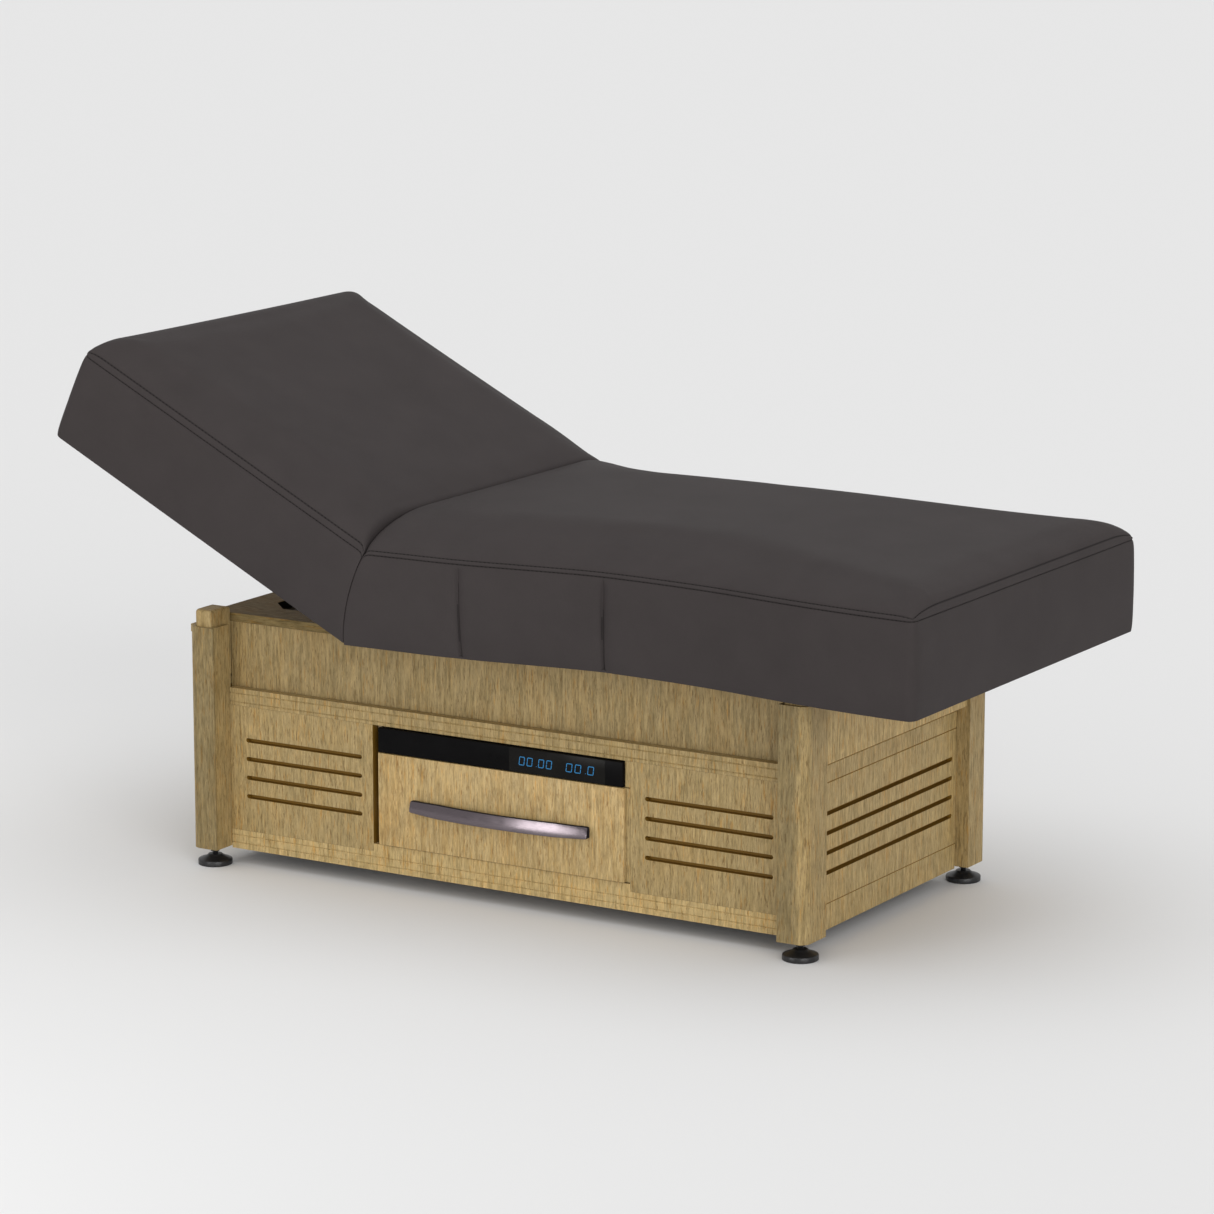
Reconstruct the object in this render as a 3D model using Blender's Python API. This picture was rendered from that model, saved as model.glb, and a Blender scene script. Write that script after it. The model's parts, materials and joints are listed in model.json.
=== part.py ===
"""Electric spa treatment table: a wooden cabinet that lifts and a two-part upholstered top.

Metres, +Z up. +X points to the foot end and -Y to the side with the drawer. The origin lies on
the floor under the middle of the whole table, with its back section raised as it is drawn.
"""
import math

import bmesh
import bpy
import numpy
from mathutils import Matrix, Vector

# Clearances
FIT = 0.0003            # between pieces that touch
RUNNING = 0.001         # between wooden pieces that slide past each other
OVERRUN = 0.004         # how far a cutter passes the face it opens

# Cabinet
CABINET_LENGTH = 1.206  # over the end panels
CABINET_WIDTH = 0.5672  # over the front and rear panels
PANEL = 0.018
PANEL_BOTTOM = 0.030
PANEL_TOP = 0.325
SHROUD_PANEL = 0.016
SHROUD_STEP = 0.020     # the lifting shroud's face lies this far behind the cabinet's face
SHROUD_BOTTOM = 0.064
SKIRT_BATTEN = 0.006    # thickening of the shroud's ends that the skirts are fixed to
BOARD = 0.0155
BOARD_TOP = 0.457
BOARD_REACH = 0.0205    # the top board passes the end panels by this much

# Corner posts and guide posts
POST_PROUD_X = 0.026
POST_PROUD_Y = 0.048
POST_WALL = 0.007
POST_LEG_X = 0.055
POST_LEG_Y = 0.071
POST_BOTTOM = 0.034
POST_TOP = 0.440
POST_CORNER = 0.018
LIP_REACH = 0.006
LIP_HEIGHT = 0.014
FOOT_BLOCK = 0.026
GUIDE_TOP = 0.470
GUIDE_BOTTOM = 0.066
GUIDE_WALL = 0.003
GUIDE_CORNER = 0.010
GUIDE_CROWN = 0.006
BRACKET_LENGTH = 0.016
BRACKET_HEIGHT = 0.096
BRACKET_SET_BACK = 0.002

# Levelling feet
FOOT_RADIUS = 0.031
FOOT_RIM = 0.008
FOOT_CHAMFER = 0.002
FOOT_BOSS = 0.012
FOOT_BOSS_TOP = 0.014
NUT_RADIUS = 0.009
NUT_HEIGHT = 0.010
STEM_RADIUS = 0.005
STEM_GRIP = 0.022
FOOT_INSET = 0.0275     # from the post's outer end face to the foot's axis
FOOT_INSET_Y = 0.0336

# Grooves, routed lines and the drawer opening
SLOT_HEIGHT = 0.008
SLOT_DEPTH = 0.012
SLOT_PITCH = 0.0343
SLOT_LOWEST = 0.1293
SLOT_ROWS = 4
SLOT_START = 0.290      # front slots, from the middle of the table
SLOT_END = 0.540
SLOT_HALF_END = 0.2465  # end slots, each way from the middle
LINE_WIDTH = 0.003
LINE_DEPTH = 0.0015
TOP_LINE_HIGH = 0.3155
TOP_LINE_LOW = 0.300
BOTTOM_LINE_HIGH = 0.0545
BOTTOM_LINE_LOW = 0.0405
END_LINE_TOP = 0.316
END_LINE_MIDDLE = 0.285
END_LINE_BOTTOM = 0.075
OPENING_HALF = 0.267
OPENING_BOTTOM = 0.0785
OPENING_TOP = 0.2935
BOTTOM_RAIL_TOP = 0.065

# Drawer, its case and the control strip
HEAD_REVEAL = 0.0153    # open channel between the drawer front and the head side panel
FOOT_REVEAL = 0.0095    # and between it and the foot side panel
FRONT_PROUD = 0.006
FRONT_GAP = 0.002
FRONT_TOP = 0.240
STRIP_DROP = 0.002      # strip below the top rail
DISPLAY_INSET = 0.0371  # from the strip's foot side end
DISPLAY_LENGTH = 0.1936
DISPLAY_THICKNESS = 0.0012
DISPLAY_MARGIN = 0.0025
CASE_WALL = 0.012
CASE_DEPTH = 0.360
CASE_LID_TOP = 0.295
DRAWER_DEPTH = 0.356
DRAWER_INSET = 0.0017   # drawer sides in from the drawer front's ends
DRAWER_SIDE = 0.012
DRAWER_SIDE_TOP = 0.225
DRAWER_CLEARANCE = 0.005
DRAWER_FLOOR = 0.006
RUNNER_HEIGHT = 0.045
RUNNER_LIP = 0.0065
RUNNER_SKIN = 0.006
RUNNER_RISE = 0.032     # above the drawer sides' lower edge
RUNNER_LENGTH = 0.330
RUNNER_COVER = 0.0127
CONTROL_HALF = 0.200
CONTROL_DEPTH = 0.080
EDGE_ROUND = 0.0012

# Drawer handle
HANDLE_LENGTH = 0.363
HANDLE_MIDDLE = -0.0035
HANDLE_HEIGHT = 0.159
HANDLE_BOW = 0.029
HANDLE_THICKNESS = 0.005
HANDLE_FOOT = 0.016
HANDLE_TALL_MIDDLE = 0.024
HANDLE_TALL_END = 0.020
HANDLE_ROUND = 0.0012
HANDLE_STATIONS = 20

# Alcove that lets the shroud pass round the drawer case
ALCOVE_CLEARANCE = 0.006
ALCOVE_WALL = 0.012
ALCOVE_CEILING = 0.350
APRON_TOP = 0.2967

# Base frame and lifting columns
TUBE = 0.030
TUBE_WALL = 0.002
TUBE_BOTTOM = 0.031
RAIL_Y = 0.190
COLUMN_X = 0.420
COLUMN_OUTER = 0.080
COLUMN_WALL = 0.003
COLUMN_TOP = 0.400
COLUMN_INNER_BOTTOM = 0.085
COLUMN_FLANGE = 0.006
COLUMN_FLANGE_HALF = 0.090
CROSS_OFFSET = 0.055
MOTOR_RADIUS = 0.024
MOTOR_LENGTH = 0.095
GEARBOX_DEPTH = 0.040
GEARBOX_HALF = 0.030
GEARBOX_HEIGHT = 0.062
PLATE = 0.006
PLATE_HALF_WIDTH = 0.195
PLATE_FOOT_HALF = 0.080
HEAD_OPENING_START = 0.562
HEAD_OPENING_END = 0.360
HEAD_OPENING_HALF = 0.190
HEAD_OPENING_CHAMFER = 0.040
PLATE_LAP = 0.005
LIFT_TRAVEL = 0.250

# Power inlet
INLET_X = 0.450
INLET_HALF_LENGTH = 0.025
INLET_HALF_HEIGHT = 0.0135
INLET_FLANGE = 0.003
INLET_FLANGE_LAP = 0.004
INLET_DEPTH = 0.026
INLET_SOCKET_HALF_LENGTH = 0.012
INLET_SOCKET_HALF_HEIGHT = 0.008
INLET_SOCKET_DEPTH = 0.018

# Hinge and back section
HINGE_X = -0.234
HINGE_RISE = 0.021      # hinge axis above the top board
REST_TILT = math.radians(26.7)
MAX_TILT = math.radians(65.0)
SHAFT_RADIUS = 0.008
SHAFT_HALF = 0.262
BEARING_HALF = 0.020
BEARING_WIDTH = 0.030
BEARING_Y = 0.200
BEARING_TOP = 0.0125    # above the hinge axis
FLAT_BAR = 0.030
FLAT_BAR_HEIGHT = 0.011
BACK_RAIL_INSET = 0.020 # rails end this short of the deck
BACK_RAIL_TOE = 0.006
BAR_Y = 0.240
SEAT_BAR_WALL = 0.0015
DECK = 0.018
DECK_INSET = 0.0288     # decks in from the mattress's waist
DECK_UNDER = 0.005      # underside of both decks below the hinge axis
BACK_DECK_START = 0.028
BACK_DECK_LENGTH = 0.592
SEAT_DECK_START = 0.029
SEAT_DECK_REACH = 0.815
SEAT_BAR_INSET = 0.015  # tubes end this short of the deck

# Tilt drive
LEVER_DROP = 0.085      # rod axis below the hinge axis
LEVER_PLUMB = math.radians(30.0)
LEVER_PLATE = 0.006
LEVER_INNER = 0.0125
LEVER_BOSS = 0.0125
LEVER_HALF = 0.0155
SLOT_NEAR = 0.0842
SLOT_FAR = 0.1045
PIN_RADIUS = 0.006
PIN_PLAY = 0.0027
PIN_HEAD_RADIUS = 0.0098
PIN_HEAD = 0.004
ROD_RADIUS = 0.010
ROD_TAIL = 0.050
EYE_HALF = 0.0115
EYE_LENGTH = 0.034
EYE_NOSE = 0.014
ACTUATOR_START = -0.120
ACTUATOR_END = 0.130
ACTUATOR_RADIUS = 0.022
ACTUATOR_BORE_END = 0.115
ACTUATOR_BOX = 0.050
ACTUATOR_BOX_HALF = 0.027
DRIVE_MOTOR_RADIUS = 0.023
DRIVE_MOTOR_OFFSET = 0.052
DRIVE_MOTOR_LENGTH = 0.120
SADDLE = 0.012
SADDLE_HALF = 0.034
SADDLE_FOOT = 0.008
SADDLE_HEAD_X = -0.100
SADDLE_FOOT_X = -0.030
LEVER_WELL_HALF = 0.055
LEVER_WELL_WIDTH = 0.060

# Cushions
CUSHION_HALF = 0.421
SKIRT_DROP = 0.017      # skirt's lower edge below the hinge axis
SEAM_RISE = 0.166       # top seam above the skirt's lower edge
CROWN = 0.043
CROWN_RUN = 0.110
CROWN_AT_SPLIT = 0.45   # share of the crown's run that is already behind at the split
SIDE_DRAW = 0.006
SEAM_DRAW = 0.007
CUSHION_CORNER = 0.012
SEAT_REACH = 0.861
SPLIT_X = -0.244        # lower edge of the seat cushion's face at the split
SPLIT_SLOPE = 0.263     # how much that face leans to the foot end for each metre up
LEAN_RUN = 0.150
WAIST = 0.0572
CHANNEL_DEPTH = 0.006
CHANNEL_RUN = 0.022
CHANNEL_XS = (-0.021, 0.239)
CHANNEL_SHARES = (-1.0, -0.4, 0.0, 0.4, 1.0)
BACK_LENGTH = 0.697
BACK_WAIST = 0.008
POCKET_SIDE = 0.005     # hollow under each cushion beyond its deck
POCKET_END = 0.010
FOLD_MARGIN = math.radians(2.0)
FOLD_GAP = 0.003

# Shares along the seat cushion from the foot end, and the share of the waist drawn in there
WAIST_SHARES = ((0.0, -0.17), (0.10, 0.02), (0.19, 0.22), (0.28, 0.40), (0.375, 0.62), (0.45, 0.76),
                (0.565, 1.0), (0.63, 0.80), (0.69, 0.48), (0.80, 0.20), (0.90, 0.18), (1.0, 0.18))

HALF_LENGTH = CABINET_LENGTH / 2
HALF_WIDTH = CABINET_WIDTH / 2
POST_X = HALF_LENGTH + POST_PROUD_X
POST_Y = HALF_WIDTH + POST_PROUD_Y
POST_INNER_X = POST_X - POST_LEG_X
POST_INNER_Y = POST_Y - POST_LEG_Y
SHROUD_Y = HALF_WIDTH - SHROUD_STEP
SHROUD_BACK_Y = SHROUD_Y - SHROUD_PANEL
SHROUD_X = HALF_LENGTH - SHROUD_STEP
SHROUD_BACK_X = SHROUD_X - SHROUD_PANEL
BOARD_UNDER = BOARD_TOP - BOARD
TUCK = BOARD_UNDER - FIT
FRONT_Y = HALF_WIDTH + FRONT_PROUD
FRONT_HALF = OPENING_HALF - HEAD_REVEAL
DRAWER_HALF = FRONT_HALF - DRAWER_INSET
DISPLAY_START = FRONT_HALF - DISPLAY_INSET - DISPLAY_LENGTH
FRONT_BACK_Y = FRONT_Y - PANEL
CASE_FRONT_Y = HALF_WIDTH - PANEL - FIT
TUBE_TOP = TUBE_BOTTOM + TUBE
HINGE_HEIGHT = BOARD_TOP + HINGE_RISE
SKIRT_BOTTOM = HINGE_HEIGHT - SKIRT_DROP
BACK_DECK_END = BACK_DECK_START + BACK_DECK_LENGTH
DECK_HALF = CUSHION_HALF - WAIST - DECK_INSET
POCKET_HALF = DECK_HALF + POCKET_SIDE
POCKET_RISE = DECK - DECK_UNDER + FIT
SKIRT_LOW = PANEL_TOP + FRONT_GAP
SKIRT_END_Y = POST_INNER_Y - RUNNING
PLATE_UNDER = TUCK - PLATE
DRAWER_BOTTOM = OPENING_BOTTOM + DRAWER_CLEARANCE
ALCOVE_X = OPENING_HALF + CASE_WALL + ALCOVE_CLEARANCE
FOOT_X = POST_X - FOOT_INSET
FOOT_Y = POST_Y - FOOT_INSET_Y
GUIDE_LOW_X = POST_INNER_X + POST_WALL + RUNNING
GUIDE_HIGH_X = POST_X - POST_WALL - RUNNING
GUIDE_LOW_Y = POST_INNER_Y + POST_WALL + RUNNING
GUIDE_HIGH_Y = POST_Y - POST_WALL - RUNNING
BODIES = {}

COLOURS = {
    "veneer": ((0.52, 0.42, 0.26), 0.55, 0.0),
    "veneer_front": ((0.60, 0.49, 0.30), 0.5, 0.0),
    "board": ((0.30, 0.24, 0.16), 0.7, 0.0),
    "charcoal_vinyl": ((0.065, 0.062, 0.060), 0.45, 0.0),
    "black_plastic": ((0.012, 0.012, 0.013), 0.35, 0.0),
    "display_glass": ((0.02, 0.02, 0.022), 0.08, 0.0),
    "black_steel": ((0.02, 0.02, 0.022), 0.5, 0.0),
    "bright_steel": ((0.55, 0.55, 0.56), 0.3, 1.0),
    "gunmetal": ((0.32, 0.30, 0.30), 0.28, 1.0),
}


def material(name):
    """Return the named Principled material, made on first use."""
    found = bpy.data.materials.get(name)
    if found:
        return found
    colour, roughness, metallic = COLOURS[name]
    made = bpy.data.materials.new(name)
    made.use_nodes = True
    shader = made.node_tree.nodes["Principled BSDF"]
    shader.inputs["Base Color"].default_value = (*colour, 1.0)
    shader.inputs["Roughness"].default_value = roughness
    shader.inputs["Metallic"].default_value = metallic
    return made


def make_body(name, pivot, root, tilt=0.0):
    """Add the empty that carries one rigid body, placed on its joint's axis."""
    empty = bpy.data.objects.new(name, None)
    bpy.context.collection.objects.link(empty)
    empty.parent = root
    empty.location = pivot
    empty.rotation_euler = (0.0, tilt, 0.0)
    BODIES[name] = empty


def place(name, bm, body, in_body_frame=False):
    """Turn a bmesh, drawn in the table's frame, into an object that hangs on a body."""
    carrier = BODIES[body]
    if not in_body_frame:
        bmesh.ops.translate(bm, verts=bm.verts, vec=-carrier.location)
    bmesh.ops.recalc_face_normals(bm, faces=bm.faces)
    mesh = bpy.data.meshes.new(name)
    bm.to_mesh(mesh)
    bm.free()
    made = bpy.data.objects.new(name, mesh)
    bpy.context.collection.objects.link(made)
    made.parent = carrier
    return made


def finish(made, colour):
    """Give a piece its material and smooth shading across shallow angles."""
    made.data.materials.append(material(colour))
    made.data.shade_smooth()
    made.data.set_sharp_from_angle(angle=math.radians(30))
    return made


def piece(name, bm, colour, body, in_body_frame=False):
    return finish(place(name, bm, body, in_body_frame), colour)


def combine(target, bm, body, operation="DIFFERENCE", in_body_frame=False):
    """Cut a shape out of a piece, or join it on, with a hidden cutter."""
    cutter = place(target.name + "_tool", bm, body, in_body_frame)
    cutter.hide_render = True
    cutter.display_type = "WIRE"
    change = target.modifiers.new("combine", "BOOLEAN")
    change.operation = operation
    change.solver = "EXACT"
    change.object = cutter


def soften(target, width):
    """Round the piece's long edges a little."""
    bevel = target.modifiers.new("edges", "BEVEL")
    bevel.width = width
    bevel.segments = 2
    bevel.limit_method = "ANGLE"


def cuboid(bm, low, high):
    """Add a box between two corners, given in any order."""
    size = [abs(b - a) for a, b in zip(low, high)]
    centre = [(a + b) / 2 for a, b in zip(low, high)]
    matrix = Matrix.Translation(centre) @ Matrix.Diagonal((*size, 1))
    bmesh.ops.create_cube(bm, size=1, matrix=matrix)


def box(low, high):
    bm = bmesh.new()
    cuboid(bm, low, high)
    return bm


def lift_point(point, axis, along):
    """Place a 2D outline point at a height along one axis."""
    values = list(point)
    values.insert("XYZ".index(axis), along)
    return Vector(values)


def prism(bm, outline, axis, start, end):
    """Extrude a closed outline, drawn in the other two axes, between two heights."""
    low = [bm.verts.new(lift_point(point, axis, start)) for point in outline]
    high = [bm.verts.new(lift_point(point, axis, end)) for point in outline]
    bm.faces.new(low)
    bm.faces.new(high)
    for index, vert in enumerate(low):
        before = index - 1
        bm.faces.new((low[before], vert, high[index], high[before]))


def tube(bm, outer, inner, axis, start, end):
    """Extrude the space between two outlines with as many points each."""
    rings = [[bm.verts.new(lift_point(point, axis, along)) for point in outline]
             for outline, along in ((outer, start), (outer, end), (inner, end), (inner, start))]
    for index, ring in enumerate(rings):
        following = rings[(index + 1) % len(rings)]
        for corner in range(len(ring)):
            bm.faces.new((ring[corner - 1], ring[corner], following[corner], following[corner - 1]))


def rectangle(half_a, half_b, centre=(0.0, 0.0)):
    a, b = centre
    return [(a - half_a, b - half_b), (a + half_a, b - half_b), (a + half_a, b + half_b),
            (a - half_a, b + half_b)]


def arc(centre, radius, start, end, steps):
    """Points on an arc, its ends included. Angles are in degrees."""
    angles = [math.radians(start + (end - start) * step / steps) for step in range(steps + 1)]
    return [(centre[0] + radius * math.cos(a), centre[1] + radius * math.sin(a)) for a in angles]


def circle(centre, radius, steps=24):
    return arc(centre, radius, 0, 360, steps)[:-1]


def capsule(centre, half_length, radius, steps=6):
    """A slot's outline along the first axis, its round ends included in the length."""
    a, b = centre
    run = half_length - radius
    return arc((a + run, b), radius, -90, 90, steps) + arc((a - run, b), radius, 90, 270, steps)


def turned(bm, profile, steps=28):
    """Turn a profile of (radius, height) pairs about Z; it starts and ends on the axis."""
    bottom = bm.verts.new((0.0, 0.0, profile[0][1]))
    top = bm.verts.new((0.0, 0.0, profile[-1][1]))
    rings = [[bm.verts.new((x, y, height)) for x, y in circle((0.0, 0.0), radius, steps)]
             for radius, height in profile[1:-1]]
    for corner in range(steps):
        bm.faces.new((bottom, rings[0][corner], rings[0][corner - 1]))
        bm.faces.new((top, rings[-1][corner - 1], rings[-1][corner]))
        for lower, upper in zip(rings, rings[1:]):
            bm.faces.new((lower[corner - 1], lower[corner], upper[corner], upper[corner - 1]))


def mirrored(outline, side_a, side_b=1):
    return [(a * side_a, b * side_b) for a, b in outline]


def ends():
    """Both ends of the table: a name and the sign of X."""
    return ("head", -1), ("foot", 1)


def sides():
    """Both long sides of the table: a name and the sign of Y."""
    return ("front", -1), ("rear", 1)


def corners():
    """The four corners: a name, the sign of X and the sign of Y."""
    for end, side_x in ends():
        for face, side_y in sides():
            yield f"{face}_{end}", side_x, side_y


def corner_posts():
    """Outer posts: open sections that clasp the panels, with a block for the foot's stem."""
    outer = arc((POST_X - POST_CORNER, POST_Y - POST_CORNER), POST_CORNER, 90, 0, 6)
    inner_radius = POST_CORNER - POST_WALL
    inner = arc((POST_X - POST_CORNER, POST_Y - POST_CORNER), inner_radius, 0, 90, 6)
    web_y = POST_INNER_Y + POST_WALL
    outline = ([(POST_INNER_X, HALF_WIDTH), (POST_INNER_X, POST_Y)] + outer
               + [(POST_X, POST_INNER_Y), (HALF_LENGTH, POST_INNER_Y), (HALF_LENGTH, web_y),
                  (POST_X - POST_WALL, web_y)] + inner
               + [(POST_INNER_X + POST_WALL, POST_Y - POST_WALL), (POST_INNER_X + POST_WALL, HALF_WIDTH)])
    bite = POST_WALL / 10
    for name, side_x, side_y in corners():
        bm = bmesh.new()
        prism(bm, mirrored(outline, side_x, side_y), "Z", POST_BOTTOM, POST_TOP)
        post = piece("corner_post_" + name, bm, "veneer", "base")
        block = box((side_x * (POST_INNER_X + POST_WALL - bite), side_y * (web_y - bite), POST_BOTTOM),
                    (side_x * (POST_X - POST_WALL + bite), side_y * (POST_Y - POST_WALL + bite),
                     POST_BOTTOM + FOOT_BLOCK))
        combine(post, block, "base", "UNION")
        stem_hole = bmesh.new()
        prism(stem_hole, circle((side_x * FOOT_X, side_y * FOOT_Y), STEM_RADIUS + FIT), "Z",
              POST_BOTTOM - OVERRUN, POST_BOTTOM + FOOT_BLOCK + OVERRUN)
        combine(post, stem_hole, "base")
        if side_x < 0:
            lip = box((side_x * (POST_X - POST_WALL / 2), side_y * POST_INNER_Y, POST_TOP - LIP_HEIGHT),
                      (side_x * (POST_X + LIP_REACH), side_y * (POST_Y - POST_CORNER), POST_TOP))
            combine(post, lip, "base", "UNION")


def guide_outline(inset):
    """Plan of a guide post, drawn in by a wall or a crown."""
    radius = GUIDE_CORNER - min(inset, GUIDE_CORNER / 2)
    low_x, high_x = GUIDE_LOW_X + inset, GUIDE_HIGH_X - inset
    low_y, high_y = GUIDE_LOW_Y + inset, GUIDE_HIGH_Y - inset
    return ([(low_x, low_y), (high_x, low_y)]
            + arc((high_x - radius, high_y - radius), radius, 0, 90, 5)
            + [(low_x, high_y)])


def guide_posts():
    """Inner posts that rise out of the corner posts, closed at the top and tied to the skirts."""
    crown = [(GUIDE_CROWN * (1 - math.cos(a)), GUIDE_CROWN * math.sin(a))
             for a in (0, math.pi / 6, math.pi / 3, math.pi / 2)]
    shoulder = GUIDE_TOP - GUIDE_CROWN
    levels = [(GUIDE_WALL, shoulder - GUIDE_WALL), (GUIDE_WALL, GUIDE_BOTTOM), (0.0, GUIDE_BOTTOM)]
    levels += [(inset, shoulder + rise) for inset, rise in crown]
    bracket_x = SHROUD_X + BRACKET_SET_BACK
    for name, side_x, side_y in corners():
        bm = bmesh.new()
        rings = [[bm.verts.new((x * side_x, y * side_y, height)) for x, y in guide_outline(inset)]
                 for inset, height in levels]
        close_loft(bm, rings)
        post = piece("guide_post_" + name, bm, "veneer", "lift")
        bracket = box((side_x * bracket_x, side_y * (SKIRT_END_Y + FIT), TUCK - BRACKET_HEIGHT),
                      (side_x * (bracket_x + BRACKET_LENGTH), side_y * (GUIDE_LOW_Y + GUIDE_WALL / 2), TUCK))
        combine(post, bracket, "lift", "UNION")


def levelling_feet():
    """Glides on threaded stems, each with a lock nut that meets the post."""
    nut_top = POST_BOTTOM - FIT
    profile = [(0.0, 0.0), (FOOT_RADIUS - FOOT_CHAMFER, 0.0), (FOOT_RADIUS, FOOT_CHAMFER),
               (FOOT_RADIUS, FOOT_RIM - FOOT_CHAMFER), (FOOT_RADIUS - FOOT_CHAMFER, FOOT_RIM),
               (FOOT_BOSS, FOOT_BOSS_TOP), (STEM_RADIUS, FOOT_BOSS_TOP),
               (STEM_RADIUS, nut_top - NUT_HEIGHT), (NUT_RADIUS, nut_top - NUT_HEIGHT),
               (NUT_RADIUS, nut_top), (STEM_RADIUS, nut_top), (STEM_RADIUS, nut_top + STEM_GRIP),
               (0.0, nut_top + STEM_GRIP)]
    for name, side_x, side_y in corners():
        bm = bmesh.new()
        turned(bm, profile)
        piece("levelling_foot_" + name, bm, "black_plastic", "foot_" + name, in_body_frame=True)


def routed_profile(face, depth, bottom, top, lines):
    """Section of a board with V lines on its face. The face may look either way."""
    inward = math.copysign(1, -face)
    points = [(face, bottom)]
    for line in sorted(lines):
        points += [(face, line - LINE_WIDTH / 2), (face + inward * LINE_DEPTH, line),
                   (face, line + LINE_WIDTH / 2)]
    return points + [(face, top), (face + inward * depth, top), (face + inward * depth, bottom)]


def front_rails():
    """Rails above and below the drawer opening, with routed lines."""
    half = POST_INNER_X - FIT
    bm = bmesh.new()
    prism(bm, routed_profile(-HALF_WIDTH, PANEL, OPENING_TOP + FIT, PANEL_TOP, (TOP_LINE_HIGH, TOP_LINE_LOW)),
          "X", -half, half)
    piece("front_top_rail", bm, "veneer", "base")
    bm = bmesh.new()
    lines = (BOTTOM_LINE_HIGH, BOTTOM_LINE_LOW)
    prism(bm, routed_profile(-HALF_WIDTH, PANEL, PANEL_BOTTOM, BOTTOM_RAIL_TOP, lines), "X", -half, half)
    rail = piece("front_bottom_rail", bm, "veneer", "base")
    sill = box((panel_edge(-1) + FIT, -HALF_WIDTH, BOTTOM_LINE_HIGH + LINE_WIDTH),
               (panel_edge(1) - FIT, -HALF_WIDTH + PANEL, OPENING_BOTTOM))
    combine(rail, sill, "base", "UNION")


def slot_rows():
    return [SLOT_LOWEST + row * SLOT_PITCH for row in range(SLOT_ROWS)]


def panel_edge(side):
    """Where the front panel beside the drawer starts: closer to it on the foot side."""
    return side * (FRONT_HALF + (FOOT_REVEAL if side > 0 else HEAD_REVEAL))


def vent_panels():
    """Panels beside the drawer, each with four blind grooves."""
    middle, half = (SLOT_START + SLOT_END) / 2, (SLOT_END - SLOT_START) / 2
    for name, side in ends():
        bm = box((panel_edge(side), -HALF_WIDTH, BOTTOM_RAIL_TOP + FIT),
                 (side * (POST_INNER_X - FIT), -HALF_WIDTH + PANEL, OPENING_TOP))
        panel = piece("front_vent_panel_" + name, bm, "veneer", "base")
        slots = bmesh.new()
        for height in slot_rows():
            outline = capsule((side * middle, height), half, SLOT_HEIGHT / 2)
            prism(slots, outline, "Y", -HALF_WIDTH - OVERRUN, -HALF_WIDTH + SLOT_DEPTH)
        combine(panel, slots, "base")


def end_panels():
    """Lower end panels with routed lines and blind grooves."""
    half = POST_INNER_Y - FIT
    lines = (END_LINE_TOP, END_LINE_MIDDLE, END_LINE_BOTTOM)
    for name, side in ends():
        bm = bmesh.new()
        prism(bm, routed_profile(side * HALF_LENGTH, PANEL, PANEL_BOTTOM, PANEL_TOP, lines),
              "Y", -half, half)
        panel = piece("end_panel_" + name, bm, "veneer", "base")
        slots = bmesh.new()
        for height in slot_rows():
            outline = capsule((0.0, height), SLOT_HALF_END, SLOT_HEIGHT / 2)
            prism(slots, outline, "X", side * (HALF_LENGTH + OVERRUN), side * (HALF_LENGTH - SLOT_DEPTH))
        combine(panel, slots, "base")


def inlet_height():
    return PANEL_BOTTOM + (SHROUD_BOTTOM - PANEL_BOTTOM) / 2


def rear_panel():
    """Rear panel, with its power inlet low down where the lifting shroud never reaches."""
    half = POST_INNER_X - FIT
    bm = bmesh.new()
    prism(bm, routed_profile(HALF_WIDTH, PANEL, PANEL_BOTTOM, PANEL_TOP, (TOP_LINE_HIGH, TOP_LINE_LOW)),
          "X", -half, half)
    panel = piece("rear_panel", bm, "veneer", "base")
    height = inlet_height()
    hole_length = INLET_HALF_LENGTH - INLET_FLANGE_LAP
    hole_height = INLET_HALF_HEIGHT - INLET_FLANGE_LAP / 2
    combine(panel, box((-INLET_X - hole_length, HALF_WIDTH - PANEL - OVERRUN, height - hole_height),
                       (-INLET_X + hole_length, HALF_WIDTH + OVERRUN, height + hole_height)), "base")
    body = bmesh.new()
    cuboid(body, (-INLET_X - hole_length + FIT, HALF_WIDTH - INLET_DEPTH, height - hole_height + FIT),
           (-INLET_X + hole_length - FIT, HALF_WIDTH + INLET_FLANGE, height + hole_height - FIT))
    inlet = piece("power_inlet", body, "black_plastic", "base")
    flange = box((-INLET_X - INLET_HALF_LENGTH, HALF_WIDTH + FIT, height - INLET_HALF_HEIGHT),
                 (-INLET_X + INLET_HALF_LENGTH, HALF_WIDTH + INLET_FLANGE, height + INLET_HALF_HEIGHT))
    combine(inlet, flange, "base", "UNION")
    socket = box((-INLET_X - INLET_SOCKET_HALF_LENGTH, HALF_WIDTH + INLET_FLANGE - INLET_SOCKET_DEPTH,
                  height - INLET_SOCKET_HALF_HEIGHT),
                 (-INLET_X + INLET_SOCKET_HALF_LENGTH, HALF_WIDTH + INLET_FLANGE + OVERRUN,
                  height + INLET_SOCKET_HALF_HEIGHT))
    combine(inlet, socket, "base")


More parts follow.
